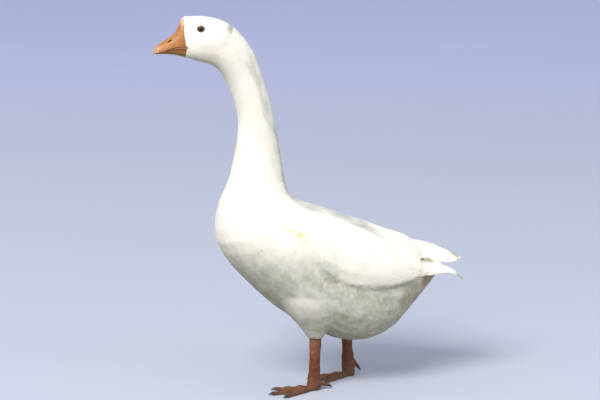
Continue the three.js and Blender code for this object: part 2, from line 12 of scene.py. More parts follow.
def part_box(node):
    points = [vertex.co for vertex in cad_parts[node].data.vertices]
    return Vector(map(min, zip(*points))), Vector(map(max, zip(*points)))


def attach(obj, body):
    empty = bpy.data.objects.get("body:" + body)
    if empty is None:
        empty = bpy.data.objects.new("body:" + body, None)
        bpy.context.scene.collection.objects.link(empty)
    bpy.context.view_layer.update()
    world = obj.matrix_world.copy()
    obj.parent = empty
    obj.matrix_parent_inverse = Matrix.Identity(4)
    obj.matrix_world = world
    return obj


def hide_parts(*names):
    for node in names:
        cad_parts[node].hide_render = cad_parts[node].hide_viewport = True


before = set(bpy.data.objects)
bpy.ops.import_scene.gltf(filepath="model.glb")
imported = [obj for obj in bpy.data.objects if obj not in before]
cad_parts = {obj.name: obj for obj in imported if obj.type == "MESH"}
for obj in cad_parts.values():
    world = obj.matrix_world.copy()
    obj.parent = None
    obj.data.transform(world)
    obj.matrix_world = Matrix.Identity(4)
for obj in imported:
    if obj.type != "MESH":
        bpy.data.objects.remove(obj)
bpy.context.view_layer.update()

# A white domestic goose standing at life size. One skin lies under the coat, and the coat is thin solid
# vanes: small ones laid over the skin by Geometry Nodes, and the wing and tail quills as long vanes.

MM = 0.001
SEED = 7
PATCH = 0.003  # side of one tuft's patch on the map OFBake
UP = np.array([0.0, 0.0, 1.0])

# ---- the bird's layout

# The middle line of the bird from the bill's root to the tail's root, as (y, z) in mm.
SPINE = [
    (-226, 634), (-195, 631), (-156, 614.5), (-124, 571), (-104, 501), (-99, 425), (-100, 384),
    (-97, 322), (-59, 278), (3, 230), (78, 185), (142, 172), (190, 191), (242, 218),
]
SPINE_STEP = 3 * MM
SPINE_SOFTNESS = 22 * MM  # how far a bend of the middle line is rounded
BATCH = 20000  # points compared with the middle line at a time

# The coat along the middle line, in mm: distance from the bill's root, a feather's length and width, the
# spacing of the roots, and the coat's depth.
COAT = np.array([
    (0, 4.6, 2.6, 1.25, 0.7),
    (35, 7, 3.4, 1.6, 1.1),
    (75, 9, 4.2, 1.9, 1.6),
    (130, 12, 5.0, 2.3, 2.1),
    (210, 15, 5.8, 2.7, 2.6),
    (300, 18, 7.2, 3.2, 3.2),
    (380, 22, 9.5, 3.9, 3.8),
    (520, 27, 12.5, 4.8, 4.4),
    (620, 27, 12, 4.7, 4.6),
    (700, 24, 10.5, 4.4, 4.0),
    (780, 20, 9, 4.0, 3.0),
])
LENGTH, WIDTH, SPACING, DEPTH = 1, 2, 3, 4  # columns of COAT

FLESH = [
    "head", "neck_upper", "neck_lower", "trunk", "wing_left", "wing_right",
    "tertials_left", "tertials_right", "thigh_left", "thigh_right",
]
SIDES = {"left": 1, "right": -1}
SKIN_VOXEL = 3 * MM
ANKLE = {"left": 94.5 * MM, "right": 80 * MM}  # height where the coat ends on each leg

EYE_CENTRE = np.array([17.1, -200.56, 650.4]) * MM  # the left eye
EYE_RADIUS = 7.6 * MM


# ---- small tools

def unit(vectors):
    length = np.linalg.norm(vectors, axis=-1, keepdims=True)
    return vectors / np.maximum(length, 1e-12)


def smoothstep(low, high, value):
    t = np.clip((value - low) / (high - low), 0, 1)
    return t * t * (3 - 2 * t)


def read(items, field, width, kind=float):
    """One property of every item of a Blender collection, as an array with width columns."""
    values = np.empty(len(items) * width, kind)
    items.foreach_get(field, values)
    return values.reshape(-1, width)


def mesh_points(mesh):
    return read(mesh.vertices, "co", 3)


def mesh_normals(mesh):
    return read(mesh.vertex_normals, "vector", 3)


def set_points(mesh, points):
    mesh.vertices.foreach_set("co", np.asarray(points, np.float32).ravel())
    mesh.update()


def store(mesh, field, values, kind="FLOAT"):
    """Keeps a value of every point of a mesh under a name."""
    key = "vector" if kind == "FLOAT_VECTOR" else "value"
    mesh.attributes.new(field, kind, "POINT").data.foreach_set(key, np.ascontiguousarray(values).ravel())


def new_mesh(name, points=(), faces=()):
    mesh = bpy.data.meshes.new(name)
    if len(points):
        mesh.from_pydata(points, [], faces)
    return mesh


def add_object(name, data):
    made = bpy.data.objects.new(name, data)
    bpy.context.scene.collection.objects.link(made)
    return made


def smooth_shaded(mesh):
    mesh.polygons.foreach_set("use_smooth", np.ones(len(mesh.polygons), bool))
    return mesh


def map_points(mesh, name, places):
    """Gives each corner of a mesh its point's place on a new map."""
    corners = read(mesh.loops, "vertex_index", 1, np.int64)[:, 0]
    mesh.uv_layers.new(name=name).data.foreach_set("uv", np.array(places)[corners].ravel())


def sharpen(mesh, wanted):
    """Marks as sharp the edges that are wanted, by the numbers of their two points."""
    sharp = mesh.attributes.new("sharp_edge", "BOOLEAN", "EDGE")
    sharp.data.foreach_set("value", [bool(wanted(*sorted(e.vertices))) for e in mesh.edges])


def band(a, b, count):
    """The faces between two rings of count points that start at a and at b."""
    return [(a + i, a + (i + 1) % count, b + (i + 1) % count, b + i) for i in range(count)]


@contextmanager
def editing(mesh):
    """Opens a mesh as a BMesh and writes it back."""
    work = bmesh.new()
    work.from_mesh(mesh)
    yield work
    work.to_mesh(mesh)
    work.free()


def facing_out(mesh):
    with editing(mesh) as work:
        bmesh.ops.recalc_face_normals(work, faces=work.faces)
    return mesh


def together(meshes, weld=0.0):
    """One mesh of several. Points no further apart than weld become one."""
    mesh = new_mesh("together")
    with editing(mesh) as work:
        for part in meshes:
            work.from_mesh(part)
        if weld:
            bmesh.ops.remove_doubles(work, verts=work.verts, dist=weld)
    return mesh


def cad_mesh(*nodes):
    """Several CAD nodes as one mesh, with each node's loose triangles joined up."""
    return together([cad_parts[name].data for name in nodes], weld=1e-6)


def remeshed(mesh, voxel):
    """The outer surface of a mesh, with faces about one voxel wide."""
    holder = add_object("holder", mesh)
    remesh = holder.modifiers.new("remesh", "REMESH")
    remesh.mode = "VOXEL"
    remesh.voxel_size = voxel
    made = applied(holder)
    with editing(made) as work:
        keep_largest(work)
    return smooth_shaded(made)


def applied(holder):
    """The mesh that an object's modifiers make. The object itself is removed."""
    evaluated = holder.evaluated_get(bpy.context.evaluated_depsgraph_get())
    made = bpy.data.meshes.new_from_object(evaluated)
    bpy.data.objects.remove(holder)
    return made


def keep_largest(work):
    """Deletes all but the largest connected shell."""
    shells, seen = [], set()
    for start in work.verts:
        if start in seen:
            continue
        shell, rest = [], [start]
        seen.add(start)
        while rest:
            vert = rest.pop()
            shell.append(vert)
            for edge in vert.link_edges:
                other = edge.other_vert(vert)
                if other not in seen:
                    seen.add(other)
                    rest.append(other)
        shells.append(shell)
    shells.sort(key=len)
    for shell in shells[:-1]:
        bmesh.ops.delete(work, geom=shell, context="VERTS")


def relax(mesh, rounds, amount=0.5, keep_size=True):
    """Smooths a mesh. amount may differ from point to point. keep_size pushes back what smoothing shrinks."""
    points = mesh_points(mesh)
    count = len(points)
    a, b = read(mesh.edges, "vertices", 2, np.int64).T
    links = np.bincount(a, minlength=count) + np.bincount(b, minlength=count)
    amount = np.broadcast_to(np.asarray(amount, float).reshape(-1, 1), (count, 1))
    for _ in range(rounds):
        for factor in ((1, -1.06) if keep_size else (1,)):
            mean = np.stack([
                np.bincount(a, points[b, k], count) + np.bincount(b, points[a, k], count)
                for k in range(3)
            ], axis=1) / links[:, None]
            points = points + factor * amount * (mean - points)
    set_points(mesh, points)


def tree_of(mesh):
    return BVHTree.FromPolygons([v.co for v in mesh.vertices], [p.vertices for p in mesh.polygons])


def grown_tree(points):
    """A tree that finds the nearest of many points."""
    tree = KDTree(len(points))
    for index, point in enumerate(points):
        tree.insert(point, index)
    tree.balance()
    return tree


# ---- the middle line and the lie of the coat

def spine_line():
    """Evenly spaced points of the middle line with its rounded bends, and its direction at each."""
    given = np.array([(0, y, z) for y, z in SPINE]) * MM
    lengths = np.r_[0, np.cumsum(np.linalg.norm(np.diff(given, axis=0), axis=1))]
    at = np.arange(0, lengths[-1], SPINE_STEP)
    points = np.stack([np.interp(at, lengths, given[:, k]) for k in range(3)], axis=1)
    reach = int(3 * SPINE_SOFTNESS / SPINE_STEP)
    weights = np.exp(-0.5 * (np.arange(-reach, reach + 1) * SPINE_STEP / SPINE_SOFTNESS) ** 2)
    weights /= weights.sum()
    first, last = unit(points[1] - points[0]), unit(points[-1] - points[-2])
    ahead = np.arange(reach, 0, -1)[:, None] * SPINE_STEP
    padded = np.vstack([points[0] - first * ahead, points, points[-1] + last * ahead[::-1]])
    points = np.stack([np.convolve(padded[:, k], weights, "valid") for k in range(3)], axis=1)
    return points, unit(np.gradient(points, axis=0)), at


SPINE_POINTS, SPINE_WAY, SPINE_AT = spine_line()


def along_spine(points):
    """For each point, how far down the middle line it lies in mm, and the line's direction there."""
    at = np.empty(len(points))
    way = np.empty((len(points), 3))
    for start in range(0, len(points), BATCH):
        batch = slice(start, start + BATCH)
        part = points[batch]
        gap = (part[:, None, 1] - SPINE_POINTS[:, 1]) ** 2 + (part[:, None, 2] - SPINE_POINTS[:, 2]) ** 2
        near = gap.argmin(axis=1)
        at[batch] = SPINE_AT[near] / MM
        way[batch] = SPINE_WAY[near]
    return at, way


def coat(column, station):
    return np.interp(station, COAT[:, 0], COAT[:, column]) * MM


# Where the feathers of the face begin behind the bill, as (z, y) in mm.
FACE_LINE = [
    (598, -232), (605, -228.5), (613, -225.5), (623, -228), (638, -230), (656, -229.5), (672, -228.5),
]


def face_line(z):
    line = np.array(FACE_LINE) * MM
    return np.interp(z, line[:, 0], line[:, 1])


# ---- markings and painted shade

# Stains of the plumage, and painted shade and shadows laid on it the same way: the mark, its middle and
# half-sizes in mm, its strength, and whether only the left side has it.
STAINS_AND_SHADE = [
    ("yellow", (95, -64, 306), (30, 11, 4.5), 0.75, True),
    ("yellow", (95, -52, 299), (30, 12, 4.5), 0.85, True),
    ("yellow", (95, -40, 292), (30, 11, 5), 0.95, True),
    # painted shade on the shoulder below the yellow stain
    ("grey", (95, -33, 281), (26, 18, 9), 0.22, True),
    ("brown", (40, 214, 192), (60, 30, 22), 0.85, False),
    ("brown", (48, 168, 168), (60, 42, 20), 0.75, False),
    ("grey", (42, 268, 198), (16, 15, 16), 0.85, False),
    ("brown", (44, 270, 196), (16, 9, 12), 0.5, False),
    ("grey", (16, 270, 233), (30, 18, 10), 1.0, False),
    ("brown", (14, 274, 232), (30, 10, 8), 0.6, False),
    # painted shade on the back of the head
    ("grey", (8, -150, 652), (26, 12, 11), 0.85, False),
    # painted shadow of the tertials' ends on the tail's root
    ("grey", (12, 186, 262), (14, 6, 4), 0.3, False),
    ("brown", (20, -188, 606), (26, 30, 6), 0.22, False),
    ("grey", (18, -184, 622), (20, 34, 13), 0.27, False),
    # painted shade in the crease behind the eye
    ("grey", (18, -184, 649.5), (8, 13, 1.9), 0.8, False),
    ("grey", (19, -214, 645), (8, 3, 7), 0.45, False),
    # painted shadow, brownish, in the hollow between the near wing and the tail
    ("brown", (42, 215, 226.5), (14, 32, 6), 0.95, True),
    ("grey", (70, -106.7, 263.5), (30, 1.6, 1.6), 0.9, True),
    # painted shadow under the wing's lower edge, in steps, with a brownish edge
    ("grey", (104, 6, 213), (30, 8, 3), 0.9, False),
    ("grey", (104, 19, 207), (30, 11, 3), 1.0, False),
    ("brown", (104, 20, 206.5), (30, 12, 2.6), 0.55, False),
    ("grey", (104, 47, 201), (30, 28, 2.2), 0.45, False),
    ("brown", (104, 60, 199.5), (30, 50, 2), 0.4, False),
]
MARKS = ("grey", "brown", "yellow")
# The upper edge of the folded wings along the back, as (y, z) in mm.
WING_TOP = [(-60, 349), (-45, 343.8), (4, 329.6), (44, 317.4), (72, 301), (101, 281), (127, 272.7)]
# Painted shade on the back between the wings, as (y, half of its width) in mm.
BACK_SHADE = [(-70, 12), (-58, 28), (-37, 41), (-10, 54), (44, 57), (72, 61), (101, 64), (127, 58)]
LESS_SHADED_THIGH = ((75, -22, 168), (50, 42, 40))  # middle and half-sizes in mm of the left thigh, where the underside's painted shade is weaker


def patchy(points, size, shift=0.0):
    """Soft noise from about -1 to 1 with patches of the given size."""
    return np.array([noise.noise(p) + 0.5 * noise.noise(2.1 * Vector(p)) for p in points / size + shift])


def side_of(points):
    """Factors that turn each point's side of the bird to the left one and back."""
    return np.c_[np.sign(points[:, 0]), np.ones((len(points), 2))]


def from_middle(points, middle, halves):
    """How far points lie from an ellipsoid's middle: 0 there and 1 on its surface."""
    return np.linalg.norm((points - middle) / halves, axis=1)


def marks(points):
    """How grey, how brown and how yellow the plumage is at each point, from 0 to 1. Much of the grey, and
    some of the brown, is painted shade.
    """
    station, way = along_spine(points)
    nearest = (station * MM / SPINE_STEP).round().astype(int)
    side = points - SPINE_POINTS[np.clip(nearest, 0, len(SPINE_POINTS) - 1)]
    dorsal = np.stack([np.zeros(len(way)), -way[:, 2], way[:, 1]], axis=1)
    rise = (side * dorsal).sum(axis=1)
    above = rise / np.maximum(np.linalg.norm(side, axis=1), 1 * MM)
    turn = np.arctan2(side[:, 0], rise)
    streaks = patchy(np.stack([turn / 0.55, station / 34, np.sign(side[:, 0])], axis=1), 1.0)
    blotches = patchy(points, 24 * MM, 3.7)
    found = np.zeros((len(points), 3))
    # Painted shade on the back of the neck, the side turned from the light, broken into streaks along it.
    nape = smoothstep(-0.25, 0.75, above) * smoothstep(38, 70, station) * smoothstep(370, 250, station)
    found[:, 0] = nape * (0.08 + 0.4 * smoothstep(-0.15, 0.6, streaks))
    trunk = smoothstep(320, 400, station)
    # Painted shade on the underside of the trunk, mottled, and weaker on the thigh and at the lowest end.
    low = smoothstep(300 * MM, 195 * MM, points[:, 2]) * trunk
    mirrored = points / MM * side_of(points)
    on_thigh = from_middle(mirrored, *LESS_SHADED_THIGH)
    low *= 1 - 0.55 * smoothstep(1.2, 0.5, on_thigh)
    low *= 1 - smoothstep(0, 50 * MM, points[:, 1]) * smoothstep(190 * MM, 204 * MM, points[:, 2])
    mottle = patchy(points, 7 * MM, 9.1)
    paler_end = 0.12 * smoothstep(135 * MM, 105 * MM, points[:, 2])
    found[:, 0] += low * (0.68 + 0.2 * blotches + 0.25 * mottle - paler_end)
    # Painted shade on the back between the wings, the part turned from the light.
    inside = np.interp(points[:, 1] / MM, *np.array(BACK_SHADE).T) - np.abs(points[:, 0]) / MM
    back = smoothstep(-3, 5, inside + 3 * mottle) * smoothstep(0.3, 0.6, above)
    ends = smoothstep(-76, -58, points[:, 1] / MM) * smoothstep(126, 98, points[:, 1] / MM)
    found[:, 0] += back * ends * np.clip(0.55 + 0.4 * blotches + 0.2 * mottle, 0, 1)
    found[:, 1] += 0.2 * low * smoothstep(-0.4, 0.8, blotches + 0.6 * mottle)
    for mark, place, halves, strength, left_only in STAINS_AND_SHADE:
        local = points / MM if left_only else mirrored
        away = from_middle(local, place, halves)
        found[:, MARKS.index(mark)] += (
            strength * smoothstep(1.15 + 0.35 * blotches, 0.25, away) * np.clip(1 + 0.7 * mottle, 0, 1.3))
    return np.clip(found, 0, 1)


def store_marks(mesh, points=None):
    store(mesh, "marks", marks(mesh_points(mesh) if points is None else points), "FLOAT_VECTOR")


# ---- skin

class Flesh:
    """The CAD's flesh nodes as one surface that knows which node each place belongs to."""

    def __init__(self):
        points, faces, self.owner = [], [], []
        for name in FLESH:
            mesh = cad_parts[name].data
            start = len(points)
            points += [v.co.copy() for v in mesh.vertices]
            faces += [[start + i for i in p.vertices] for p in mesh.polygons]
            self.owner += [name] * len(mesh.polygons)
        self.tree = BVHTree.FromPolygons(points, faces)

    def names(self, points):
        found = (self.tree.find_nearest(Vector(p)) for p in points)
        return np.array([self.owner[index] for _, _, index, _ in found])


def thigh_share(points, names):
    """How far each point is down a leg: 0 on the body, 1 at the ankle."""
    share = np.zeros(len(points))
    for side, height in ANKLE.items():
        on = names == f"thigh_{side}"
        share[on] = smoothstep(height + 45 * MM, height, points[on, 2])
    return share


def coat_depth(points, names, station):
    depth = coat(DEPTH, station) * (1 - 0.65 * thigh_share(points, names))
    wing_tip = np.char.startswith(names, "wing") * smoothstep(185 * MM, 235 * MM, points[:, 1])
    return depth * (1 - 0.8 * wing_tip)


FOREHEAD_LIFT = np.array([0, -1.3, 2.2])
HIP = ((52, -22, 140), (60, 62, 44))  # middle and half-sizes in mm of the left hip
EYE_HOLLOW = 2 * MM  # depth of the skin's hollow round an eye


def forehead(points):
    """How near each point is to the raised edge over the bill's root."""
    mm = points / MM
    return np.exp(-(((mm[:, 1] + 228) / 7) ** 2) - ((mm[:, 2] - 669) / 9) ** 2)


def bill_root():
    """The back of the bill as a closed solid, cut off a little ahead of the face's feathers."""
    mesh = cad_mesh("bill_upper", "bill_lower")
    with editing(mesh) as work:
        cut = bmesh.ops.bisect_plane(
            work, geom=work.verts[:] + work.edges[:] + work.faces[:], plane_co=(0, -232 * MM, 0),
            plane_no=(0, -1, 0), clear_outer=True)
        rim = [e for e in cut["geom_cut"] if isinstance(e, bmesh.types.BMEdge)]
        bmesh.ops.holes_fill(work, edges=rim)
    return mesh


def wing_seam(points):
    """How near each point is to where the wing's front and upper edges run into the body."""
    x, y, z = np.abs(points[:, 0]) / MM, points[:, 1] / MM, points[:, 2] / MM
    front = smoothstep(-95, -70, y) * smoothstep(22, -6, y)
    front = front * smoothstep(50, 64, x) * smoothstep(246, 268, z)
    ridge = smoothstep(38, 48, x) * smoothstep(84, 70, x)
    ridge = ridge * smoothstep(-70, -45, y) * smoothstep(150, 120, y)
    near_top = smoothstep(26, 14, np.abs(z - np.interp(y, *np.array(WING_TOP).T)))
    return np.maximum(front, ridge * near_top)


def build_skin(flesh):
    """The seamless skin under the coat: the flesh nodes drawn together and sunk by the coat's depth."""
    mesh = remeshed(together([cad_mesh(*FLESH), bill_root()]), SKIN_VOXEL)
    points = mesh_points(mesh)
    station, _ = along_spine(points)
    relax(mesh, 50, np.interp(station, [60, 160], [0.22, 0.5]))
    points = mesh_points(mesh)
    points += FOREHEAD_LIFT * MM * forehead(points)[:, None]
    set_points(mesh, points)
    hips = np.minimum(*(from_middle(points / MM * (sign, 1, 1), *HIP) for sign in (1, -1)))
    relax(mesh, 160, 0.5 * smoothstep(1.1, 0.5, hips), keep_size=False)
    relax(mesh, 90, 0.5 * wing_seam(mesh_points(mesh)), keep_size=False)
    points, normals = mesh_points(mesh), mesh_normals(mesh)
    depth = coat_depth(points, flesh.names(points), station)
    set_points(mesh, points - normals * depth[:, None])
    relax(mesh, 3)
    points, normals = mesh_points(mesh), mesh_normals(mesh)
    ahead = smoothstep(1.2 * MM, -0.8 * MM, points[:, 1] - face_line(points[:, 2]))
    points -= normals * (2.2 * MM * ahead)[:, None]
    for sign in (1, -1):
        away = np.linalg.norm(points - EYE_CENTRE * (sign, 1, 1), axis=1)
        inside = (np.sign(points[:, 0]) == sign) & (away < 2 * EYE_RADIUS)
        hollow = EYE_HOLLOW * (1 - smoothstep(0.8 * EYE_RADIUS, 1.5 * EYE_RADIUS, away))
        points[inside, 0] -= sign * hollow[inside]
    set_points(mesh, points)
    skin = add_object("skin", mesh)
    bpy.context.view_layer.objects.active = skin
    skin.select_set(True)
    bpy.ops.object.mode_set(mode="EDIT")
    bpy.ops.mesh.select_all(action="SELECT")
    bpy.ops.uv.smart_project(angle_limit=math.radians(66), island_margin=0.003)
    bpy.ops.object.mode_set(mode="OBJECT")
    mesh.uv_layers[0].name = "OFBake"
    skin.select_set(False)
    store_marks(mesh)
    return skin


# ---- small feathers

class Ground:
    """A surface that feathers grow on, with places for their roots spread over it."""

    def __init__(self, mesh):
        mesh.calc_loop_triangles()
        self.corners = read(mesh.loop_triangles, "vertices", 3, np.int64)
        uv = read(mesh.uv_layers["OFBake"].data, "uv", 2)
        self.uv = uv[read(mesh.loop_triangles, "loops", 3, np.int64)]
        self.points, self.normals = mesh_points(mesh), mesh_normals(mesh)

    def scatter(self, count, rng):
        """Random places, evenly dense: point, normal and place on the unwrap."""
        a, b, c = (self.points[self.corners[:, k]] for k in range(3))
        area = np.linalg.norm(np.cross(b - a, c - a), axis=1)
        tri = rng.choice(len(area), count, p=area / area.sum())
        u, v = rng.random(count), rng.random(count)
        fold = u + v > 1
        u[fold], v[fold] = 1 - u[fold], 1 - v[fold]
        share = np.stack([1 - u - v, u, v], axis=1)[:, :, None]
        points = (self.points[self.corners[tri]] * share).sum(axis=1)
        normals = unit((self.normals[self.corners[tri]] * share).sum(axis=1))
        uv = (self.uv[tri] * share).sum(axis=1)
        return points, normals, uv


def thin_out(points, spacing):
    """The indices of points that are left when each keeps its spacing from all others."""
    tree, free, kept = grown_tree(points), np.ones(len(points), bool), []
    for index, point in enumerate(points):
        if free[index]:
            kept.append(index)
            for _, other, _ in tree.find_range(point, spacing[index]):
                free[other] = False
    return np.array(kept)


def turns(across, along, normal):
    """Rotations, as quaternions, that turn X, Y and Z to three directions."""
    return np.array([
        Matrix(np.stack(axes, axis=1).tolist()).to_quaternion()[:]
        for axes in zip(across, along, normal)
    ])


# The small vanes: shares of the length with a ring, half-widths there, and how ragged the edge is.
VANES = {
    "vane_a": ([0, 0.5, 0.84, 1], [0.2, 0.5, 0.42, 0.05], 0.15),
    "vane_b": ([0, 0.4, 0.75, 1], [0.2, 0.46, 0.5, 0.1], 0.2),
    "vane_c": ([0, 0.38, 0.7, 0.88, 1], [0.16, 0.45, 0.5, 0.36, 0.04], 0.2),
    "vane_d": ([0, 0.42, 0.72, 0.8, 0.9, 1], [0.16, 0.46, 0.5, 0.36, 0.4, 0.05], 0.25),
    "vane_e": ([0, 0.38, 0.66, 0.82, 0.92, 1], [0.16, 0.45, 0.5, 0.44, 0.3, 0.06], 0.16),
    "vane_f": ([0, 0.38, 0.64, 0.74, 0.86, 0.94, 1], [0.16, 0.45, 0.5, 0.38, 0.44, 0.28, 0.05], 0.2),
}
FINE, NARROW, BROAD = (0, 1), (2, 3), (4, 5)  # which of the vanes a coat picks from
SOFTNESS = 0.8  # how far a feather is shaded by the body's curve under it
SINK = 0.72  # depth of a feather's root, as a share of the coat's depth


def vane_collection():
    """The template vanes: flat, one unit long and wide, with their thickness and place in attributes."""
    group = bpy.data.collections.new("vanes")
    rng = np.random.default_rng(SEED)
    for name, (shares, halves, ragged) in VANES.items():
        points, faces, uv, thick, edge = [], [], [], [], []
        last = len(shares) - 1
        for k, (share, half) in enumerate(zip(shares, halves)):
            left, right = half * (1 - ragged * rng.random(2) * (0 < k))
            body = math.sin(math.pi * min(0.9, 0.25 + 0.6 * share)) if k < last else 0.25
            points += [(-left, share, 0), (0, share, 0), (right, share, 0), (0, share, 0)]
            uv += [(0.5 - left, share), (0.5, share), (0.5 + right, share), (0.5, share)]
            thick += [0, body, 0, -body]
            edge += [1, 0, 1, 0]
            if k:
                faces += band(4 * (k - 1), 4 * k, 4)
        faces += [(3, 2, 1, 0), tuple(4 * last + i for i in range(4))]
        mesh = new_mesh(name, points, faces)
        for field, values in (("along", [p[1] for p in points]), ("thick", thick), ("edge", edge)):
            store(mesh, field, values)
        map_points(mesh, "vane", uv)
        sharpen(mesh, lambda a, b: edge[a] and edge[b])
        smooth_shaded(mesh)
        group.objects.link(bpy.data.objects.new(name, mesh))
    return group


def give(tree, target, value):
    """Links a socket to an input, or sets the input's own value."""
    if isinstance(value, bpy.types.NodeSocket):
        tree.links.new(value, target)
    else:
        target.default_value = value


def node(tree, kind, inputs=(), **settings):
    """Adds a node with its properties and its inputs, given by name or number."""
    made = tree.nodes.new(kind)
    for name, value in settings.items():
        setattr(made, name, value)
    for socket, value in dict(inputs).items():
        give(tree, made.inputs[socket], value)
    return made


def active(made):
    """The output that a node's settings have switched on."""
    return next(s for s in made.outputs if s.enabled)


def named(tree, name, kind):
    """The socket that reads a named attribute."""
    return active(node(tree, "GeometryNodeInputNamedAttribute", {"Name": name}, data_type=kind))


def math_node(tree, operation, *values):
    return node(tree, "ShaderNodeMath", enumerate(values), operation=operation).outputs[0]


def vector_math(tree, operation, *values, scale=None):
    made = node(tree, "ShaderNodeVectorMath", enumerate(values), operation=operation)
    if scale is not None:
        tree.links.new(scale, made.inputs["Scale"])
    return made.outputs[0]


def mix_node(tree, share, first, second):
    made = node(tree, "ShaderNodeMix", data_type="RGBA")
    sockets = [s for s in made.inputs if s.enabled]
    for target, value in zip(sockets, (share, first, second)):
        give(tree, target, (*value, 1) if isinstance(value, tuple) else value)
    return active(made)


def feather_tree():
    """Geometry Nodes that lay a vane along a surface from each root."""
    tree = bpy.data.node_groups.new("feather_coat", "GeometryNodeTree")
    face = tree.interface
    face.new_socket("Geometry", in_out="INPUT", socket_type="NodeSocketGeometry")
    for name, kind in (
        ("Ground", "NodeSocketObject"), ("Vanes", "NodeSocketCollection"),
        ("Thickness", "NodeSocketFloat"), ("Droop", "NodeSocketFloat"),
        ("Patch", "NodeSocketFloat"), ("Material", "NodeSocketMaterial"),
    ):
        face.new_socket(name, in_out="INPUT", socket_type=kind)
    face.new_socket("Geometry", in_out="OUTPUT", socket_type="NodeSocketGeometry")
    given = node(tree, "NodeGroupInput").outputs

    vanes = node(tree, "GeometryNodeCollectionInfo", {
        "Collection": given["Vanes"], "Separate Children": True, "Reset Children": True,
    })
    laid = node(tree, "GeometryNodeInstanceOnPoints", {
        "Points": given["Geometry"],
        "Instance": vanes.outputs[0],
        "Pick Instance": True,
        "Instance Index": named(tree, "kind", "INT"),
        "Rotation": named(tree, "turn", "QUATERNION"),
        "Scale": named(tree, "size", "FLOAT_VECTOR"),
    })
    real = node(tree, "GeometryNodeRealizeInstances", {"Geometry": laid.outputs[0]})

    ground = node(tree, "GeometryNodeObjectInfo", {"Object": given["Ground"]}).outputs["Geometry"]
    here = node(tree, "GeometryNodeInputPosition").outputs[0]
    facing = node(tree, "GeometryNodeInputNormal").outputs[0]
    foot, normal = (
        active(node(tree, "GeometryNodeSampleNearestSurface", {
            "Mesh": ground, "Value": value, "Sample Position": here,
        }, data_type="FLOAT_VECTOR"))
        for value in (here, facing)
    )
    rest = math_node(tree, "SUBTRACT", 1, named(tree, "along", "FLOAT"))
    low, high = named(tree, "sink", "FLOAT"), named(tree, "rise", "FLOAT")
    climb = math_node(tree, "SUBTRACT", high, low)
    lift = math_node(tree, "SUBTRACT", high, math_node(tree, "MULTIPLY", climb,
                     math_node(tree, "POWER", rest, 2.2)))
    lift = math_node(tree, "MULTIPLY_ADD", named(tree, "thick", "FLOAT"), given["Thickness"], lift)
    droop = math_node(tree, "MULTIPLY", named(tree, "edge", "FLOAT"), given["Droop"])
    lift = math_node(tree, "SUBTRACT", lift, droop)
    place = vector_math(tree, "ADD", foot, vector_math(tree, "SCALE", normal, scale=lift))
    put = node(tree, "GeometryNodeSetPosition", {"Geometry": real.outputs[0], "Position": place})

    middle = vector_math(tree, "SUBTRACT", named(tree, "vane", "FLOAT_VECTOR"), (0.5, 0.5, 0))
    spread = vector_math(tree, "SCALE", middle, scale=given["Patch"])
    mapped = vector_math(tree, "ADD", named(tree, "root", "FLOAT_VECTOR"), spread)
    stored = node(tree, "GeometryNodeStoreNamedAttribute", {
        "Geometry": put.outputs[0], "Name": "OFBake", "Value": mapped,
    }, data_type="FLOAT2", domain="CORNER")
    kept = node(tree, "GeometryNodeStoreNamedAttribute", {
        "Geometry": stored.outputs[0], "Name": "body_normal", "Value": normal,
    }, data_type="FLOAT_VECTOR", domain="POINT")
    painted = node(tree, "GeometryNodeSetMaterial", {
        "Geometry": kept.outputs[0], "Material": given["Material"],
    })
    node(tree, "NodeGroupOutput", {"Geometry": painted.outputs[0]})
    return tree


def soften(mesh):
    """Turns the outer side's shading towards the body's curve, so that the coat reads as one soft form."""
    body = unit(read(mesh.attributes["body_normal"].data, "vector", 3))
    below = body[read(mesh.loops, "vertex_index", 1, np.int64)[:, 0]]
    own = read(mesh.corner_normals, "vector", 3)
    sizes = read(mesh.polygons, "loop_total", 1, np.int64)[:, 0]
    face = np.repeat(read(mesh.polygons, "normal", 3), sizes, axis=0)
    outer = smoothstep(-0.1, 0.25, (face * below).sum(axis=1))[:, None] * SOFTNESS
    mesh.normals_split_custom_set(unit(own * (1 - outer) + below * outer))
    mesh.attributes.remove(mesh.attributes["body_normal"])


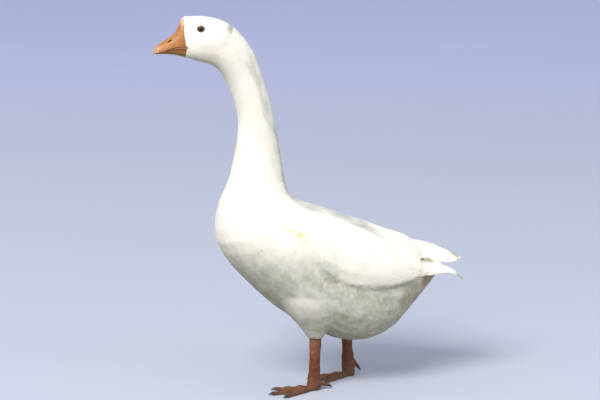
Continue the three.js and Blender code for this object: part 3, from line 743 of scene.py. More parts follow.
def lay_feathers(name, ground, roots, material, thickness):
    """One coat piece of small feathers. roots holds the arrays points, normals, lie, uv, length, width and
    depth, with the kinds of vane to pick from and how far the feathers sway."""
    rng = np.random.default_rng(SEED + len(name))
    count = len(roots["points"])
    normals = roots["normals"]
    lie = unit(roots["lie"] - normals * (roots["lie"] * normals).sum(axis=1, keepdims=True))
    across = np.cross(lie, normals)
    sway = rng.normal(0, roots["sway"], count)[:, None]
    lie, across = lie * np.cos(sway) + across * np.sin(sway), across * np.cos(sway) - lie * np.sin(sway)
    grow = rng.uniform(0.86, 1.12, (count, 2))
    mesh = new_mesh(name, roots["points"].tolist())
    kinds = np.array(roots["kinds"])
    size = np.stack([roots["width"] * grow[:, 0], roots["length"] * grow[:, 1], np.ones(count)], axis=1)
    fields = {
        "kind": ("INT", kinds[rng.integers(0, len(kinds), count)]),
        "turn": ("QUATERNION", turns(across, lie, normals)),
        "size": ("FLOAT_VECTOR", size),
        "rise": ("FLOAT", roots["depth"] * rng.uniform(0.96, 1.0, count)),
        "sink": ("FLOAT", SINK * roots["depth"]),
        "root": ("FLOAT_VECTOR", np.c_[roots["uv"], np.zeros(count)]),
        "tone": ("FLOAT", rng.random(count)),
    }
    store_marks(mesh, roots["points"])
    for field, (kind, values) in fields.items():
        store(mesh, field, values, kind)
    holder = add_object(name + "_roots", mesh)
    coat_nodes = holder.modifiers.new("coat", "NODES")
    coat_nodes.node_group = FEATHERS
    sockets = {s.name: s.identifier for s in FEATHERS.interface.items_tree if s.in_out == "INPUT"}
    for field, value in (
        ("Ground", ground), ("Vanes", VANE_GROUP), ("Thickness", thickness),
        ("Droop", thickness), ("Patch", PATCH), ("Material", material),
    ):
        coat_nodes[sockets[field]] = value
    made = applied(holder)
    for field in ("kind", "turn", "size", "rise", "sink", "root", "along", "thick", "edge"):
        if field in made.attributes:
            made.attributes.remove(made.attributes[field])
    made.name = name
    if not made.materials:
        made.materials.append(material)
    if "neck" not in name and "head" not in name:
        made.attributes.remove(made.attributes["marks"])
        store_marks(made)
    soften(made)
    return add_object(name, made)


KINDS = {
    "head_coat": FINE, "nape_coat": FINE, "neck_coat": NARROW, "thigh_coat": NARROW, "breast_coat": NARROW,
}
# Where each coat ends along the middle line, in mm from the bill's root.
COAT_ENDS = {
    "head_coat": 62, "nape_coat": 118, "neck_coat": 320,
    "breast_coat": 440, "side_coat": 580, "rear_coat": 2000,
}
# Along the wing, in mm: place from front to back, a covert's length and width, and the spacing of the roots.
COVERT_GROWTH = [
    (-60, 16, 8, 3.6), (-10, 22, 11, 4.4), (50, 32, 15, 5.6), (110, 40, 19, 6.8),
    (150, 38, 18, 6.5), (196, 24, 13, 4.6),
]
ROOT_TRIES = 640000  # places tried for roots over the whole skin
ROOTS_SPARE = 3.2  # how many of them are looked at for each that can stay
# Along the wing, as (y in mm, share of the way down it): the bare quills start below this line.
QUILL_LINE = [(60, 1.1), (130, 0.78), (170, 0.55)]
COVERTS_END = 160 * MM  # no covert has its root behind this y
TIP_CORNER = np.array([45, 190, 200]) * MM  # no feather grows outside, behind and above it
CALM = ("wing", "head", "nape", "neck", "breast")  # coats whose feathers hardly sway


def chosen(roots, which):
    return {field: values[which] for field, values in roots.items()}


def spread_roots(flesh, skin, sheet):
    """The roots of the whole coat, densest on the face and none on the eyes, the bill or the quills."""
    rng = np.random.default_rng(SEED)
    points, normals, uv = Ground(skin.data).scatter(ROOT_TRIES, rng)
    station, way = along_spine(points)
    dense = coat(SPACING, station)
    roots = {"points": points, "normals": normals, "uv": uv, "station": station, "way": way}
    roots = chosen(roots, rng.random(len(points)) < (dense.min() / dense) ** 2 * ROOTS_SPARE)
    points = roots["points"]
    x, y, z = points.T
    names = roots["names"] = flesh.names(points)
    roots["share"] = thigh_share(points, names)
    eye = np.linalg.norm(points - EYE_CENTRE * side_of(points), axis=1)
    bare = y < face_line(z) + 0.3 * MM
    wing = roots["wing"] = np.char.startswith(names, "wing")
    down_wing = (sheet.top(y) - z) / (sheet.top(y) - sheet.low(y))
    quill = wing & ((down_wing > np.interp(y / MM, *np.array(QUILL_LINE).T)) | (y > COVERTS_END))
    quill |= (np.c_[np.abs(x), y, z] > TIP_CORNER).all(axis=1)
    return chosen(roots, (eye > EYE_RADIUS) & ~bare & ~quill)


def body_coat(flesh, skin, sheet):
    """The coat of head, neck, trunk, thighs and folded wings, in pieces, from one spread of roots."""
    roots = spread_roots(flesh, skin, sheet)
    points, station, wing = roots["points"], roots["station"], roots["wing"]
    roots["folded"] = sheet.lie(points[:, 1], points[:, 2]) * side_of(points)
    table = np.array(COVERT_GROWTH)
    length, width, spacing = (
        np.where(wing, np.interp(points[:, 1] / MM, table[:, 0], table[:, k]) * MM, coat(column, station))
        for k, column in ((1, LENGTH), (2, WIDTH), (3, SPACING)))
    small = 1 - 0.6 * roots["share"]
    roots |= {"length": length, "width": width, "small": small}
    roots = chosen(roots, thin_out(points, spacing * small))
    points, normals, names, station = (roots[field] for field in ("points", "normals", "names", "station"))
    share, small, wing = roots["share"], roots["small"], roots["wing"]
    belly = smoothstep(0.2, -0.6, normals[:, 2]) * smoothstep(420, 560, station)
    down = share[:, None]
    lie = np.where(wing[:, None], roots["folded"], roots["way"] * (1 - down) - UP * down)
    trunk = station >= COAT_ENDS["neck_coat"]
    rank, start = {}, 0
    for name, end in COAT_ENDS.items():
        rank[name] = (station >= start) & (station < end) & (~trunk | ((share == 0) & ~wing))
        start = end
    rank["thigh_coat"] = (share > 0) & trunk
    for side in SIDES:
        rank[f"wing_{side}_coat"] = (names == f"wing_{side}") & (share == 0) & trunk
    laid = {
        "points": points, "normals": normals, "uv": roots["uv"], "lie": lie,
        "length": roots["length"] * small, "width": roots["width"] * small * (1 - 0.3 * belly),
        "depth": coat_depth(points, names, station),
    }
    for name, which in rank.items():
        piece = chosen(laid, which) | {
            "kinds": KINDS.get(name, BROAD), "sway": 0.06 if name.startswith(CALM) else 0.13,
        }
        thickness = (0.06 if name in ("head_coat", "nape_coat") else 0.09) * MM
        yield lay_feathers(name, skin, piece, PLUMAGE, thickness)


# ---- the folded wings

WING_STEP = 4 * MM
WING_COAT = 3.2 * MM  # depth of the coverts over the wing's own form


def neighbours(grid, **edges):
    """The values of each cell's four neighbours."""
    wide = np.pad(grid, 1, **edges)
    return np.stack([wide[:-2, 1:-1], wide[2:, 1:-1], wide[1:-1, :-2], wide[1:-1, 2:]])


class WingSheet:
    """The outer face of the left wing as a height x over (y, z), running on past the wing's edges."""

    def __init__(self):
        low, high = (np.array(corner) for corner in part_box("wing_left"))
        self.ys = np.arange(low[1] - 30 * MM, high[1] + 45 * MM, WING_STEP)
        self.zs = np.arange(low[2] - 30 * MM, high[2] + 25 * MM, WING_STEP)
        face = np.full((len(self.ys), len(self.zs)), np.nan)

        def probe(tree, wanted):
            """Fills in the open places that are wanted with a surface's height there."""
            for i, y in enumerate(self.ys):
                for j, z in enumerate(self.zs):
                    if np.isnan(face[i, j]) and wanted(y, z):
                        hit = tree.ray_cast((2 * high[0], y, z), (-1, 0, 0))[0]
                        if hit:
                            face[i, j] = hit[0]

        probe(tree_of(cad_mesh("wing_left")), lambda y, z: True)
        solid = ~np.isnan(face)
        heights = [self.zs[row] for row in solid if row.any()]
        self.edge_y = self.ys[solid.any(axis=1)]
        self.edge_top = np.array([h.max() for h in heights])
        self.edge_low = np.array([h.min() for h in heights])
        probe(tree_of(cad_mesh("trunk", "neck_lower")), lambda y, z: z > self.top(y) or y < self.edge_y[0])
        while np.isnan(face).any():
            near = neighbours(face, constant_values=np.nan)
            known = ~np.isnan(near)
            mean = np.nansum(near, axis=0) / np.maximum(known.sum(axis=0), 1)
            fill = np.isnan(face) & known.any(axis=0)
            face[fill] = mean[fill]
        for _ in range(8):
            face = (neighbours(face, mode="edge").sum(axis=0) + 2 * face) / 6
        slope_y, slope_z = np.gradient(face, WING_STEP)
        self.normal = unit(np.stack([np.ones_like(face), -slope_y, -slope_z], axis=-1))
        grid_y, grid_z = np.meshgrid(self.ys, self.zs, indexing="ij")
        self.face = np.stack([face, grid_y, grid_z], axis=-1) - self.normal * WING_COAT

    def at(self, y, z):
        """The sheet's point and normal at (y, z)."""
        i = np.clip((y - self.ys[0]) / WING_STEP, 0, len(self.ys) - 1.001)
        j = np.clip((z - self.zs[0]) / WING_STEP, 0, len(self.zs) - 1.001)
        a, b = i.astype(int), j.astype(int)
        s, t = (i - a)[..., None], (j - b)[..., None]
        both = []
        for field in (self.face, self.normal):
            low = field[a, b] * (1 - s) + field[a + 1, b] * s
            both.append(low * (1 - t) + (field[a, b + 1] * (1 - s) + field[a + 1, b + 1] * s) * t)
        return both[0], unit(both[1])

    def top(self, y):
        return np.interp(y, self.edge_y, self.edge_top)

    def low(self, y):
        return np.interp(y, self.edge_y, self.edge_low)

    def lie(self, y, z):
        """The way the wing's feathers point, between its upper and its lower edge."""
        share = np.clip((self.top(y) - z) / (self.top(y) - self.low(y)), 0, 1)
        ahead = 40 * MM
        rise_top = (self.top(y + ahead) - self.top(y - ahead)) / (2 * ahead)
        rise_low = (self.low(y + ahead) - self.low(y - ahead)) / (2 * ahead)
        slope = rise_top * (1 - share) + rise_low * share - 0.08
        return unit(np.stack([np.zeros_like(y), np.ones_like(y), slope], axis=-1))


# ---- long vanes

COLUMNS = np.array([-1, -0.62, -0.24, -0.05, 0.05, 0.24, 0.62, 1])
TIP_ROWS = 1 - np.array([0.036, 0.024, 0.014, 0.006, 0.002])
EVEN_ROWS = 22
SPLIT = 0.9 * MM  # half-width of a split between barbs
SHAFT = 0.55 * MM  # how far the shaft stands out of the vane


class Vanes:
    """Long feathers gathered into one mesh. Each is closed, with a shaft, a slight arch and split barbs."""

    def __init__(self, count, salt):
        self.points, self.faces, self.vane, self.atlas, self.rims = [], [], [], [], set()
        self.count, self.made = count, 0
        self.rng = np.random.default_rng(SEED + salt)

    def add(self, place, length, half, shape, thick=0.5 * MM, arch=1.2 * MM, splits=4):
        """place(v, u) gives points and normals at shares v of the length, u metres across. shape(v) gives
        the half-width's share on the narrow and on the wide side."""
        notches = self.rng.uniform(0.3, 0.97, splits)
        sides = self.rng.integers(0, 2, splits)
        gap = SPLIT / length
        rows = np.unique(np.concatenate([
            np.linspace(0, 1, EVEN_ROWS), notches - gap, notches, notches + gap, TIP_ROWS]))
        rows = rows[(rows >= 0) & (rows <= 1)]
        narrow, wide = shape(rows)
        cut = np.ones((2, len(rows)))
        for notch, side in zip(notches, sides):
            cut[side, np.isclose(rows, notch)] = self.rng.uniform(0.62, 0.85)
        reach = np.stack([narrow * cut[0], wide * cut[1]], axis=1) * half
        across = np.where(COLUMNS < 0, reach[:, :1], reach[:, 1:]) * COLUMNS
        v = np.repeat(rows[:, None], len(COLUMNS), axis=1)
        centre, normal = place(v, across)
        shaft = SHAFT * np.clip(1.25 - rows, 0, 1)[:, None] * (np.abs(COLUMNS) < 0.1)
        body = thick / 2 * (1 - 0.75 * np.abs(COLUMNS) ** 2) * np.clip(1.3 - 0.8 * rows, 0, 1)[:, None]
        body[:, [0, -1]] = 0
        bend = arch * (across / half) ** 2
        top = centre + normal * (body + shaft - bend)[..., None]
        under = (centre - normal * (body + shaft * 0.4 + bend)[..., None])[:, -2:0:-1]
        rings = np.concatenate([top, under], axis=1)
        uv = np.stack([across + half, v * length], axis=-1)
        uv = np.concatenate([uv, uv[:, -2:0:-1]], axis=1)
        cell = 1 / self.count
        wide_top = (COLUMNS + 1) / 4
        cell_u = np.concatenate([wide_top, 0.5 + wide_top[-2:0:-1]])
        start, around = len(self.points), rings.shape[1]
        self.points += rings.reshape(-1, 3).tolist()
        ring_atlas = np.stack([
            np.broadcast_to((self.made + 0.05 + 0.9 * cell_u) * cell, rings.shape[:2]),
            np.broadcast_to(0.01 + 0.98 * rows[:, None], rings.shape[:2]),
        ], axis=-1)
        self.vane += uv.reshape(-1, 2).tolist()
        self.atlas += ring_atlas.reshape(-1, 2).tolist()
        for r in range(len(rows) - 1):
            a, b = start + r * around, start + (r + 1) * around
            self.faces += band(a, b, around)
            self.rims |= {(a, b), (a + len(COLUMNS) - 1, b + len(COLUMNS) - 1)}
        self.faces.append(tuple(start + k for k in reversed(range(around))))
        self.faces.append(tuple(start + (len(rows) - 1) * around + k for k in range(around)))
        self.made += 1

    def build(self, name, material):
        mesh = facing_out(new_mesh(name, self.points, self.faces))
        map_points(mesh, "OFBake", self.atlas)
        map_points(mesh, "vane", self.vane)
        smooth_shaded(mesh)
        sharpen(mesh, lambda a, b: (a, b) in self.rims)
        mesh.materials.append(material)
        store_marks(mesh)
        return add_object(name, mesh)


def rounded(v, full=0.6, root=0.35):
    """The outline of a broad feather with a round tip."""
    grown = root + (1 - root) * smoothstep(0, 0.45, v)
    end = np.sqrt(np.clip(1 - np.clip((v - full) / (1 - full), 0, 1) ** 2.4, 0.004, 1))
    return grown * end


def pointed(v):
    """The outline of a narrow feather with a pointed tip."""
    grown = 0.45 + 0.55 * smoothstep(0, 0.35, v)
    return grown * np.clip(1 - np.clip((v - 0.45) / 0.55, 0, 1) ** 0.8, 0.03, 1)


def sided(inner, outer, turned):
    """The two half-widths of a vane, changed over where it is turned round."""
    return (lambda v: (outer(v), inner(v))) if turned else (lambda v: (inner(v), outer(v)))


def curve_through(points):
    """A smooth line through points: a function of the share of its length."""
    points = np.asarray(points, float)
    at = np.r_[0, np.cumsum(np.linalg.norm(np.diff(points, axis=0), axis=1))]
    at /= at[-1]
    slopes = np.gradient(points, at, axis=0)

    def position(v):
        v = np.asarray(v, float)
        k = np.clip(np.searchsorted(at, v, side="right") - 1, 0, len(at) - 2)
        span = (at[k + 1] - at[k])
        t = ((v - at[k]) / span)[..., None]
        span = span[..., None]
        return (
            points[k] * (2 * t**3 - 3 * t**2 + 1) + slopes[k] * span * (t**3 - 2 * t**2 + t)
            + points[k + 1] * (3 * t**2 - 2 * t**3) + slopes[k + 1] * span * (t**3 - t**2)
        )

    return position


def heading(line, v, step):
    """The direction of a line at shares v of its length."""
    return unit(line(np.minimum(v + step, 1)) - line(np.maximum(v - step, 0)))


def free_place(line, face, height=0.0):
    """Places a vane along a line in space, its flat side facing face."""

    def place(v, u):
        ahead = heading(line, v, 0.01)
        across = unit(np.cross(ahead, face))
        normal = np.cross(across, ahead)
        return line(v) + across * u[..., None] + normal * height, normal

    return place


def line_length(line):
    return np.linalg.norm(np.diff(line(np.linspace(0, 1, 30)), axis=0), axis=1).sum()


SECONDARIES = 9


def secondaries(side, sheet):
    """The long vanes along the wing's lower part, each inner one over the next outer one."""
    sign = SIDES[side]
    vanes = Vanes(SECONDARIES, 11)
    for k in range(SECONDARIES):
        share = k / (SECONDARIES - 1)
        start, end = (30 + 66 * share) * MM, (132 + 103 * share**0.85) * MM
        root_height = 0.2 + 0.42 * share
        half = (14 - 3 * share) * MM
        length = end - start

        def place(v, u):
            y = start + length * v
            tall = sheet.top(y) - sheet.low(y)
            z = sheet.low(y) + 0.85 * half + (tall - half) * root_height * (1 - v) ** 0.8
            point, normal = sheet.at(y, z - u)
            flip = (sign, 1, 1)
            proud = -1.2 + 2.9 * smoothstep(0, 0.16, v) + 0.15 * k + 0.7 * smoothstep(0.1, 0.5, v)
            return (point + normal * proud[..., None] * MM) * flip, normal * flip

        vanes.add(place, length, half, lambda v: (rounded(v, 0.75), rounded(v, 0.82)), arch=0.6 * MM)
    return vanes.build(f"secondaries_{side}", FLIGHT)


def laid_place(tree, corners, normals, line, lift):
    """Places a vane along a line, bent over a surface as high as the line runs, and lift(v) more."""

    def nearest(point):
        foot, _, face, _ = tree.find_nearest(Vector(point))
        return np.array(foot), unit(normals[corners[face]].mean(axis=0))

    def place(v, u):
        ahead = heading(line, v[:, 0], 0.02)
        middle = line(v[:, 0])
        facing = np.array([nearest(p)[1] for p in middle])
        across = unit(np.cross(ahead, facing))
        flat = middle[:, None] + across[:, None] * u[..., None]
        height = ((middle - np.array([nearest(p)[0] for p in middle])) * facing).sum(axis=1)
        height = np.convolve(np.pad(height, 2, mode="edge"), np.ones(5) / 5, "valid")
        height = np.clip(height, *TERTIAL_HEIGHT)
        found = [nearest(p) for p in flat.reshape(-1, 3)]
        foot = np.array([f[0] for f in found]).reshape(flat.shape)
        normal = np.array([f[1] for f in found]).reshape(flat.shape)
        for _ in range(10):
            for field in (foot, normal):
                field[1:-1] = 0.25 * field[:-2] + 0.5 * field[1:-1] + 0.25 * field[2:]
                field[:, 1:-1] = 0.25 * field[:, :-2] + 0.5 * field[:, 1:-1] + 0.25 * field[:, 2:]
        normal = unit(normal)
        return foot + normal * (height[:, None] + lift(v))[..., None], normal

    return place


# The tertials over the rump, as (x, y, z) in mm: the line of the innermost one and of the outermost one.
TERTIALS = (
    [(9, 60, 311), (9, 95, 300), (9, 120, 290), (9, 145, 281), (9, 164, 273), (9, 181, 264)],
    [(67, 56, 305), (67, 90, 290), (63, 125, 269), (56, 162, 254), (46, 200, 236)],
)
TERTIAL_HEIGHT = (4.2 * MM, 4.8 * MM)  # of the vanes' middle over the skin
TERTIAL_COUNT = 6


def tertials(side, skin):
    """The broad inner vanes of one wing, laid over the rump from the outermost to the innermost."""
    tree, normals = tree_of(skin.data), mesh_normals(skin.data)
    corners = [list(p.vertices) for p in skin.data.polygons]
    vanes = Vanes(TERTIAL_COUNT, 17)
    flip = np.array([SIDES[side], 1, 1])
    steps = np.linspace(0, 1, 7)
    inner, outer = (curve_through(np.array(line, float) * MM)(steps) for line in TERTIALS)
    for k in range(TERTIAL_COUNT):
        share = 1 - k / (TERTIAL_COUNT - 1)
        line = curve_through((inner * (1 - share) + outer * share) * flip)

        def lift(v):
            return (0.3 * k * smoothstep(0, 0.3, v) - 3.2 * smoothstep(0.3, 0, v)) * MM

        place = laid_place(tree, corners, normals, line, lift)
        vanes.add(place, line_length(line), 14 * MM, lambda v: (rounded(v, 0.72), rounded(v, 0.78)),
                  arch=0.7 * MM, splits=5)
    return vanes.build(f"tertials_{side}_vanes", FLIGHT)


# The left wing's longest primary, as (x, y, z) in mm.
PRIMARY_LINE = [
    (56, 152, 216), (56, 185, 220), (54.5, 212, 219), (53, 232, 216), (50, 246, 212), (47, 260, 203.5),
    (44, 275, 190),
]
PRIMARY_FACE = unit(np.array([0.8, 0.2, 0.55]))
PRIMARY_LIFT = {"left": 0, "right": 22}  # how far the tip is carried higher, in mm
PRIMARIES = 6


def primaries(side):
    """The folded primaries, reaching past the wing's tip, one under another."""
    sign = SIDES[side]
    vanes = Vanes(PRIMARIES, 21)
    flip = np.array([sign, 1, 1])
    whole = curve_through(np.array(PRIMARY_LINE) * MM)
    for k in range(PRIMARIES):
        shares = np.linspace(0, 1, 9)
        end = shares * (1 - 0.055 * k)
        points = whole(end)
        points[:, 0] -= 2.4 * MM * k * shares
        points[:, 2] += PRIMARY_LIFT[side] * MM * end**2 - 0.5 * MM * k
        line = curve_through(points * flip)
        place = free_place(line, PRIMARY_FACE * flip)
        shape = sided(lambda v: 0.4 * pointed(v), pointed, turned=sign < 0)
        vanes.add(place, line_length(line), 18 * MM, shape, thick=0.7 * MM)
    return vanes.build(f"primaries_{side}_vanes", FLIGHT)


TAIL = {
    "count": 14,
    "root": ((0, 165, 264), (24, 168, 237)),  # the middle feather's, and the outermost one's, in mm
    "tip": ((0, 281, 224.5), (31, 267, 228)),
    "half": 12.5,  # a feather's half-width in mm
    "arch": 7,  # how high the middle feather rises over a straight line, in mm
}


def tail_feathers():
    """The closed tail: each feather lies under its neighbour nearer the middle."""
    count = TAIL["count"]
    vanes = Vanes(count, 31)
    for k in range(count):
        share = 2 * k / (count - 1) - 1
        far = abs(share)
        spread = np.array([far, far**2, far**2])  # the tail's roof is flat in the middle and steep outside
        root, tip = (
            (np.array(middle) + (np.array(outer) - middle) * spread) * MM
            for middle, outer in (TAIL["root"], TAIL["tip"])
        )
        root[0], tip[0] = root[0] * np.sign(share), tip[0] * np.sign(share)
        middle = (root + tip) / 2 + UP * TAIL["arch"] * (1 - 0.6 * far**2) * MM
        line = curve_through([root, middle, tip])
        face = unit(np.array([share * 1.16, 0, 1]))
        shape = sided(lambda v: rounded(v, 0.7), lambda v: 0.8 * rounded(v, 0.72), turned=share < 0)
        place = free_place(line, face, height=-0.34 * MM * far * count / 2)
        vanes.add(place, line_length(line), TAIL["half"] * MM, shape, arch=3.0 * MM, splits=6)
    return vanes.build("tail_vanes", FLIGHT)


# ---- bill, eyes, legs and claws

def reworked(name, nodes, voxel, rounds):
    """A smooth copy of CAD nodes as a piece of its own."""
    mesh = remeshed(cad_mesh(*nodes), voxel)
    relax(mesh, rounds)
    return add_object(name, mesh)


# Along the bill, as (y, z) in mm: the line between its halves, and the lower edge of the lower one.
MOUTH = [
    (-284, 606.5), (-275, 609.3), (-269, 611.7), (-257, 614.9), (-245, 617.6), (-239, 619), (-229, 619.3),
]
CHIN = [
    (-284, 605.5), (-272, 605.8), (-260, 605.6), (-248, 604.8), (-242, 603.4), (-236, 601.7), (-224, 598.9),
]
NOSTRIL = ((-254.6, 629.8), math.atan2(4.6, 7.7), 4.6, 1.25)  # (y, z), slope, half-length, half-width in mm


def bill_detail(mesh, points):
    """Presses in the nostrils and the groove under the lip, and keeps their places for the colours."""
    mm, normals = points / MM, mesh_normals(mesh)
    mouth, chin = (np.interp(mm[:, 1], *np.array(line).T) for line in (MOUTH, CHIN))
    below = mm[:, 2] - mouth
    below = np.where(below < 0, below * 17 / (mouth - chin), below)  # as if the lower bill were 17 mm deep
    (y, z), slope, half_length, half_width = NOSTRIL
    along = (mm[:, 1] - y) * math.cos(slope) + (mm[:, 2] - z) * math.sin(slope)
    over = (mm[:, 2] - z) * math.cos(slope) - (mm[:, 1] - y) * math.sin(slope)
    away = np.hypot(along / half_length, over / half_width)
    side = smoothstep(0.15, 0.5, np.abs(normals[:, 0]))
    hole = smoothstep(1.15, 0.55, away) * side
    rim = np.exp(-(((away - 1.5) / 0.45) ** 2)) * side
    back = smoothstep(-274, -262, mm[:, 1])
    groove = np.exp(-(((below + 5.6) / 1.6) ** 2)) * back
    lip = np.exp(-(((below + 1.8) / 1.5) ** 2)) * back
    lift = 0.3 * rim + 1.3 * lip - 1.7 * hole - 0.5 * groove
    store(mesh, "lip", below)
    store(mesh, "nostril", hole)
    return points + normals * lift[:, None] * MM


HEAD_FRONT = np.array([(598.6, 669), (-222.5, -229.2)]) * MM  # heights, and y where the bill meets the head


def head_front(z):
    return np.interp(z, *HEAD_FRONT)


def build_bill():
    pieces = []
    for name, nodes, voxel in (
        ("bill_upper_skin", ["bill_upper"], 0.6 * MM),
        ("bill_lower_skin", ["bill_lower"], 0.6 * MM),
        ("bill_nail_horn", ["bill_nail"], 0.4 * MM),
    ):
        made = reworked(name, nodes, voxel, 14)
        points = mesh_points(made.data)
        if "nail" in name:
            back = smoothstep(-275.5 * MM, -273.2 * MM, points[:, 1])
            points[:, 1] += 1.3 * MM * back
            points[:, [0, 2]] -= 0.22 * MM * back[:, None] * mesh_normals(made.data)[:, [0, 2]]
        else:
            points += FOREHEAD_LIFT * (1, 0.9, 0.55) * MM * forehead(points)[:, None]
            root = smoothstep(-3.5 * MM, 0, points[:, 1] - head_front(points[:, 2]))
            points[:, 1] += 2.2 * MM * root
            points = bill_detail(made.data, points)
        set_points(made.data, points)
        made.data.materials.append(NAIL if "nail" in name else BILL)
        pieces.append((made, nodes, "nail" if "nail" in name else "bill"))
    return pieces


EYE_OPENING = (6.1 * MM, 5.1 * MM)  # half-width and half-height between the lids
EYE_TILT = math.radians(-8)


def eye_axes(sign):
    """The eye's outward direction, and its long and short axes in the face."""
    out = unit(np.array([sign, -0.10, 0.06]))
    along = unit(np.cross(out, UP)) * -sign
    along = unit(along * math.cos(EYE_TILT) + UP * math.sin(EYE_TILT))
    up = unit(np.cross(along, out) * sign)
    return out, along, up


def build_eye(side):
    sign = SIDES[side]
    _, along, up = eye_axes(sign)
    mesh = new_mesh(f"eye_{side}_ball")
    with editing(mesh) as work:
        bmesh.ops.create_uvsphere(work, u_segments=48, v_segments=32, radius=EYE_RADIUS)
    turn = np.stack([along, up, np.cross(along, up)], axis=1)
    set_points(mesh, mesh_points(mesh) @ turn.T + EYE_CENTRE * (sign, 1, 1))
    smooth_shaded(facing_out(mesh))
    mesh.materials.append(EYE)
    return add_object(f"eye_{side}_ball", mesh)


# The section of a lid: its share of the opening, and its height off the ball in mm.
LID_SECTION = [
    (0.95, 0.1), (0.99, 0.35), (1.04, 0.5), (1.14, 0.5),
    (1.28, 0.35), (1.45, -0.3), (1.62, -1.6), (1.3, -2.8),
]
LID_STEPS = 64  # sections round one eye


def build_lids(side):
    """A ring of bare lid round one eye."""
    sign = SIDES[side]
    centre = EYE_CENTRE * (sign, 1, 1)
    out, along, up = eye_axes(sign)
    points, faces = [], []
    for k in range(LID_STEPS):
        turn = 2 * math.pi * k / LID_STEPS
        corner = 1 + 0.13 * math.cos(turn) ** 8  # the lids meet in a corner at each end
        for share, stand in LID_SECTION:
            wide = EYE_OPENING[0] * share * corner * math.cos(turn)
            tall = EYE_OPENING[1] * share * math.sin(turn)
            spread = math.hypot(wide, tall)
            depth = math.sqrt(max(EYE_RADIUS**2 - min(spread, 0.97 * EYE_RADIUS) ** 2, 0))
            points.append(centre + along * wide + up * tall + out * (depth + stand * MM))
    count = len(LID_SECTION)
    for k in range(LID_STEPS):
        faces += band(k * count, (k + 1) % LID_STEPS * count, count)
    mesh = new_mesh(f"lids_{side}", [tuple(p) for p in points], faces)
    with editing(mesh) as work:
        bmesh.ops.recalc_face_normals(work, faces=work.faces)
        bmesh.ops.subdivide_edges(work, edges=work.edges[:], cuts=1, smooth=1.0)
    smooth_shaded(mesh)
    local = mesh_points(mesh) - centre
    store(mesh, "rim", np.hypot(local @ along / EYE_OPENING[0], local @ up / EYE_OPENING[1]))
    mesh.materials.append(LID)
    return add_object(f"lids_{side}", mesh)


def build_leg(side):
    """The bare skin of one leg, with its scales pressed in between a spread of seeds."""
    nodes = [f"shank_{side}", f"foot_{side}"]
    mesh = remeshed(cad_mesh(*nodes), 0.9 * MM)
    relax(mesh, 10)
    points, normals = mesh_points(mesh), mesh_normals(mesh)
    rng = np.random.default_rng(SEED + 41)
    order = rng.permutation(len(points))
    height = points[:, 2]
    spacing = np.where(height > 25 * MM, 3.3 * MM, 2.4 * MM)
    seeds = order[thin_out(points[order], spacing[order])]
    tree = grown_tree(points[seeds])
    nearest = [tree.find_n(point, 2) for point in points]
    groove = 1 - smoothstep(0, 0.75 * MM, np.array([second[2] - first[2] for first, second in nearest]))
    sole = height < 1.2 * MM
    depth = np.where(sole, 0, 0.42 * MM) * groove
    lumps = np.where(sole, 0, 0.55 * MM) * patchy(points, 9 * MM, 1.3)
    points = points + normals * (lumps - depth)[:, None]
    points[:, 2] = np.maximum(points[:, 2], 0)
    set_points(mesh, points)
    store(mesh, "groove", groove)
    mesh.materials.append(LEG)
    return add_object(f"leg_{side}_skin", mesh), nodes


# ---- materials

class Finish:
    """A material's nodes, with the steps that every finish here is built from."""

    def __init__(self, name, roughness, **constants):
        self.made = bpy.data.materials.new(name)
        self.made.use_nodes = True
        self.tree = self.made.node_tree
        self.tree.nodes.clear()
        self.shader = node(self.tree, "ShaderNodeBsdfPrincipled", {"Roughness": roughness, **constants})
        node(self.tree, "ShaderNodeOutputMaterial", {"Surface": self.shader.outputs[0]})
        self.place = node(self.tree, "ShaderNodeTexCoord").outputs["Object"]

    def noise(self, scale, detail=3, stretch=None):
        where = self.place
        if stretch:
            where = node(self.tree, "ShaderNodeMapping", {"Vector": where, "Scale": stretch}).outputs[0]
        return node(self.tree, "ShaderNodeTexNoise", {
            "Vector": where, "Scale": scale, "Detail": detail}).outputs["Fac"]

    def cells(self, scale):
        return node(self.tree, "ShaderNodeTexVoronoi", {
            "Vector": self.place, "Scale": scale}, feature="DISTANCE_TO_EDGE").outputs["Distance"]

    def attribute(self, name, output="Fac"):
        return node(self.tree, "ShaderNodeAttribute", attribute_name=name).outputs[output]

    def math(self, operation, *values):
        return math_node(self.tree, operation, *values)

    def times(self, first, second):
        return self.math("MULTIPLY", first, second)

    def scaled(self, value, factor, base):
        """value * factor + base."""
        return self.math("MULTIPLY_ADD", value, factor, base)

    def over(self, colour, share, paint, strength):
        """Paint laid over a colour where share says, never stronger than strength."""
        return self.mix(self.times(share, strength), colour, paint)

    def parts(self, vector):
        return node(self.tree, "ShaderNodeSeparateXYZ", {"Vector": vector}).outputs

    def span(self, value, low, high, start=0.0, end=1.0):
        """The value taken from low..high to start..end, with soft ends."""
        return node(self.tree, "ShaderNodeMapRange", {
            "Value": value, "From Min": low, "From Max": high, "To Min": start, "To Max": end,
        }, interpolation_type="SMOOTHSTEP").outputs[0]

    def mix(self, share, first, second):
        return mix_node(self.tree, share, first, second)

    def shaded(self, colour, amount):
        """The colour made darker or lighter by a factor."""
        grey = node(self.tree, "ShaderNodeCombineXYZ", {"X": amount, "Y": amount, "Z": amount}).outputs[0]
        return vector_math(self.tree, "MULTIPLY", colour, grey)

    def finish(self, colour, height=None, distance=0.2 * MM, strength=1.0, roughness=None):
        self.tree.links.new(colour, self.shader.inputs["Base Color"])
        if height is not None:
            bump = node(self.tree, "ShaderNodeBump", {
                "Height": height, "Distance": distance, "Strength": strength})
            self.tree.links.new(bump.outputs[0], self.shader.inputs["Normal"])
        if roughness is not None:
            self.tree.links.new(roughness, self.shader.inputs["Roughness"])
        return self.made


WHITE = (0.88, 0.865, 0.815)
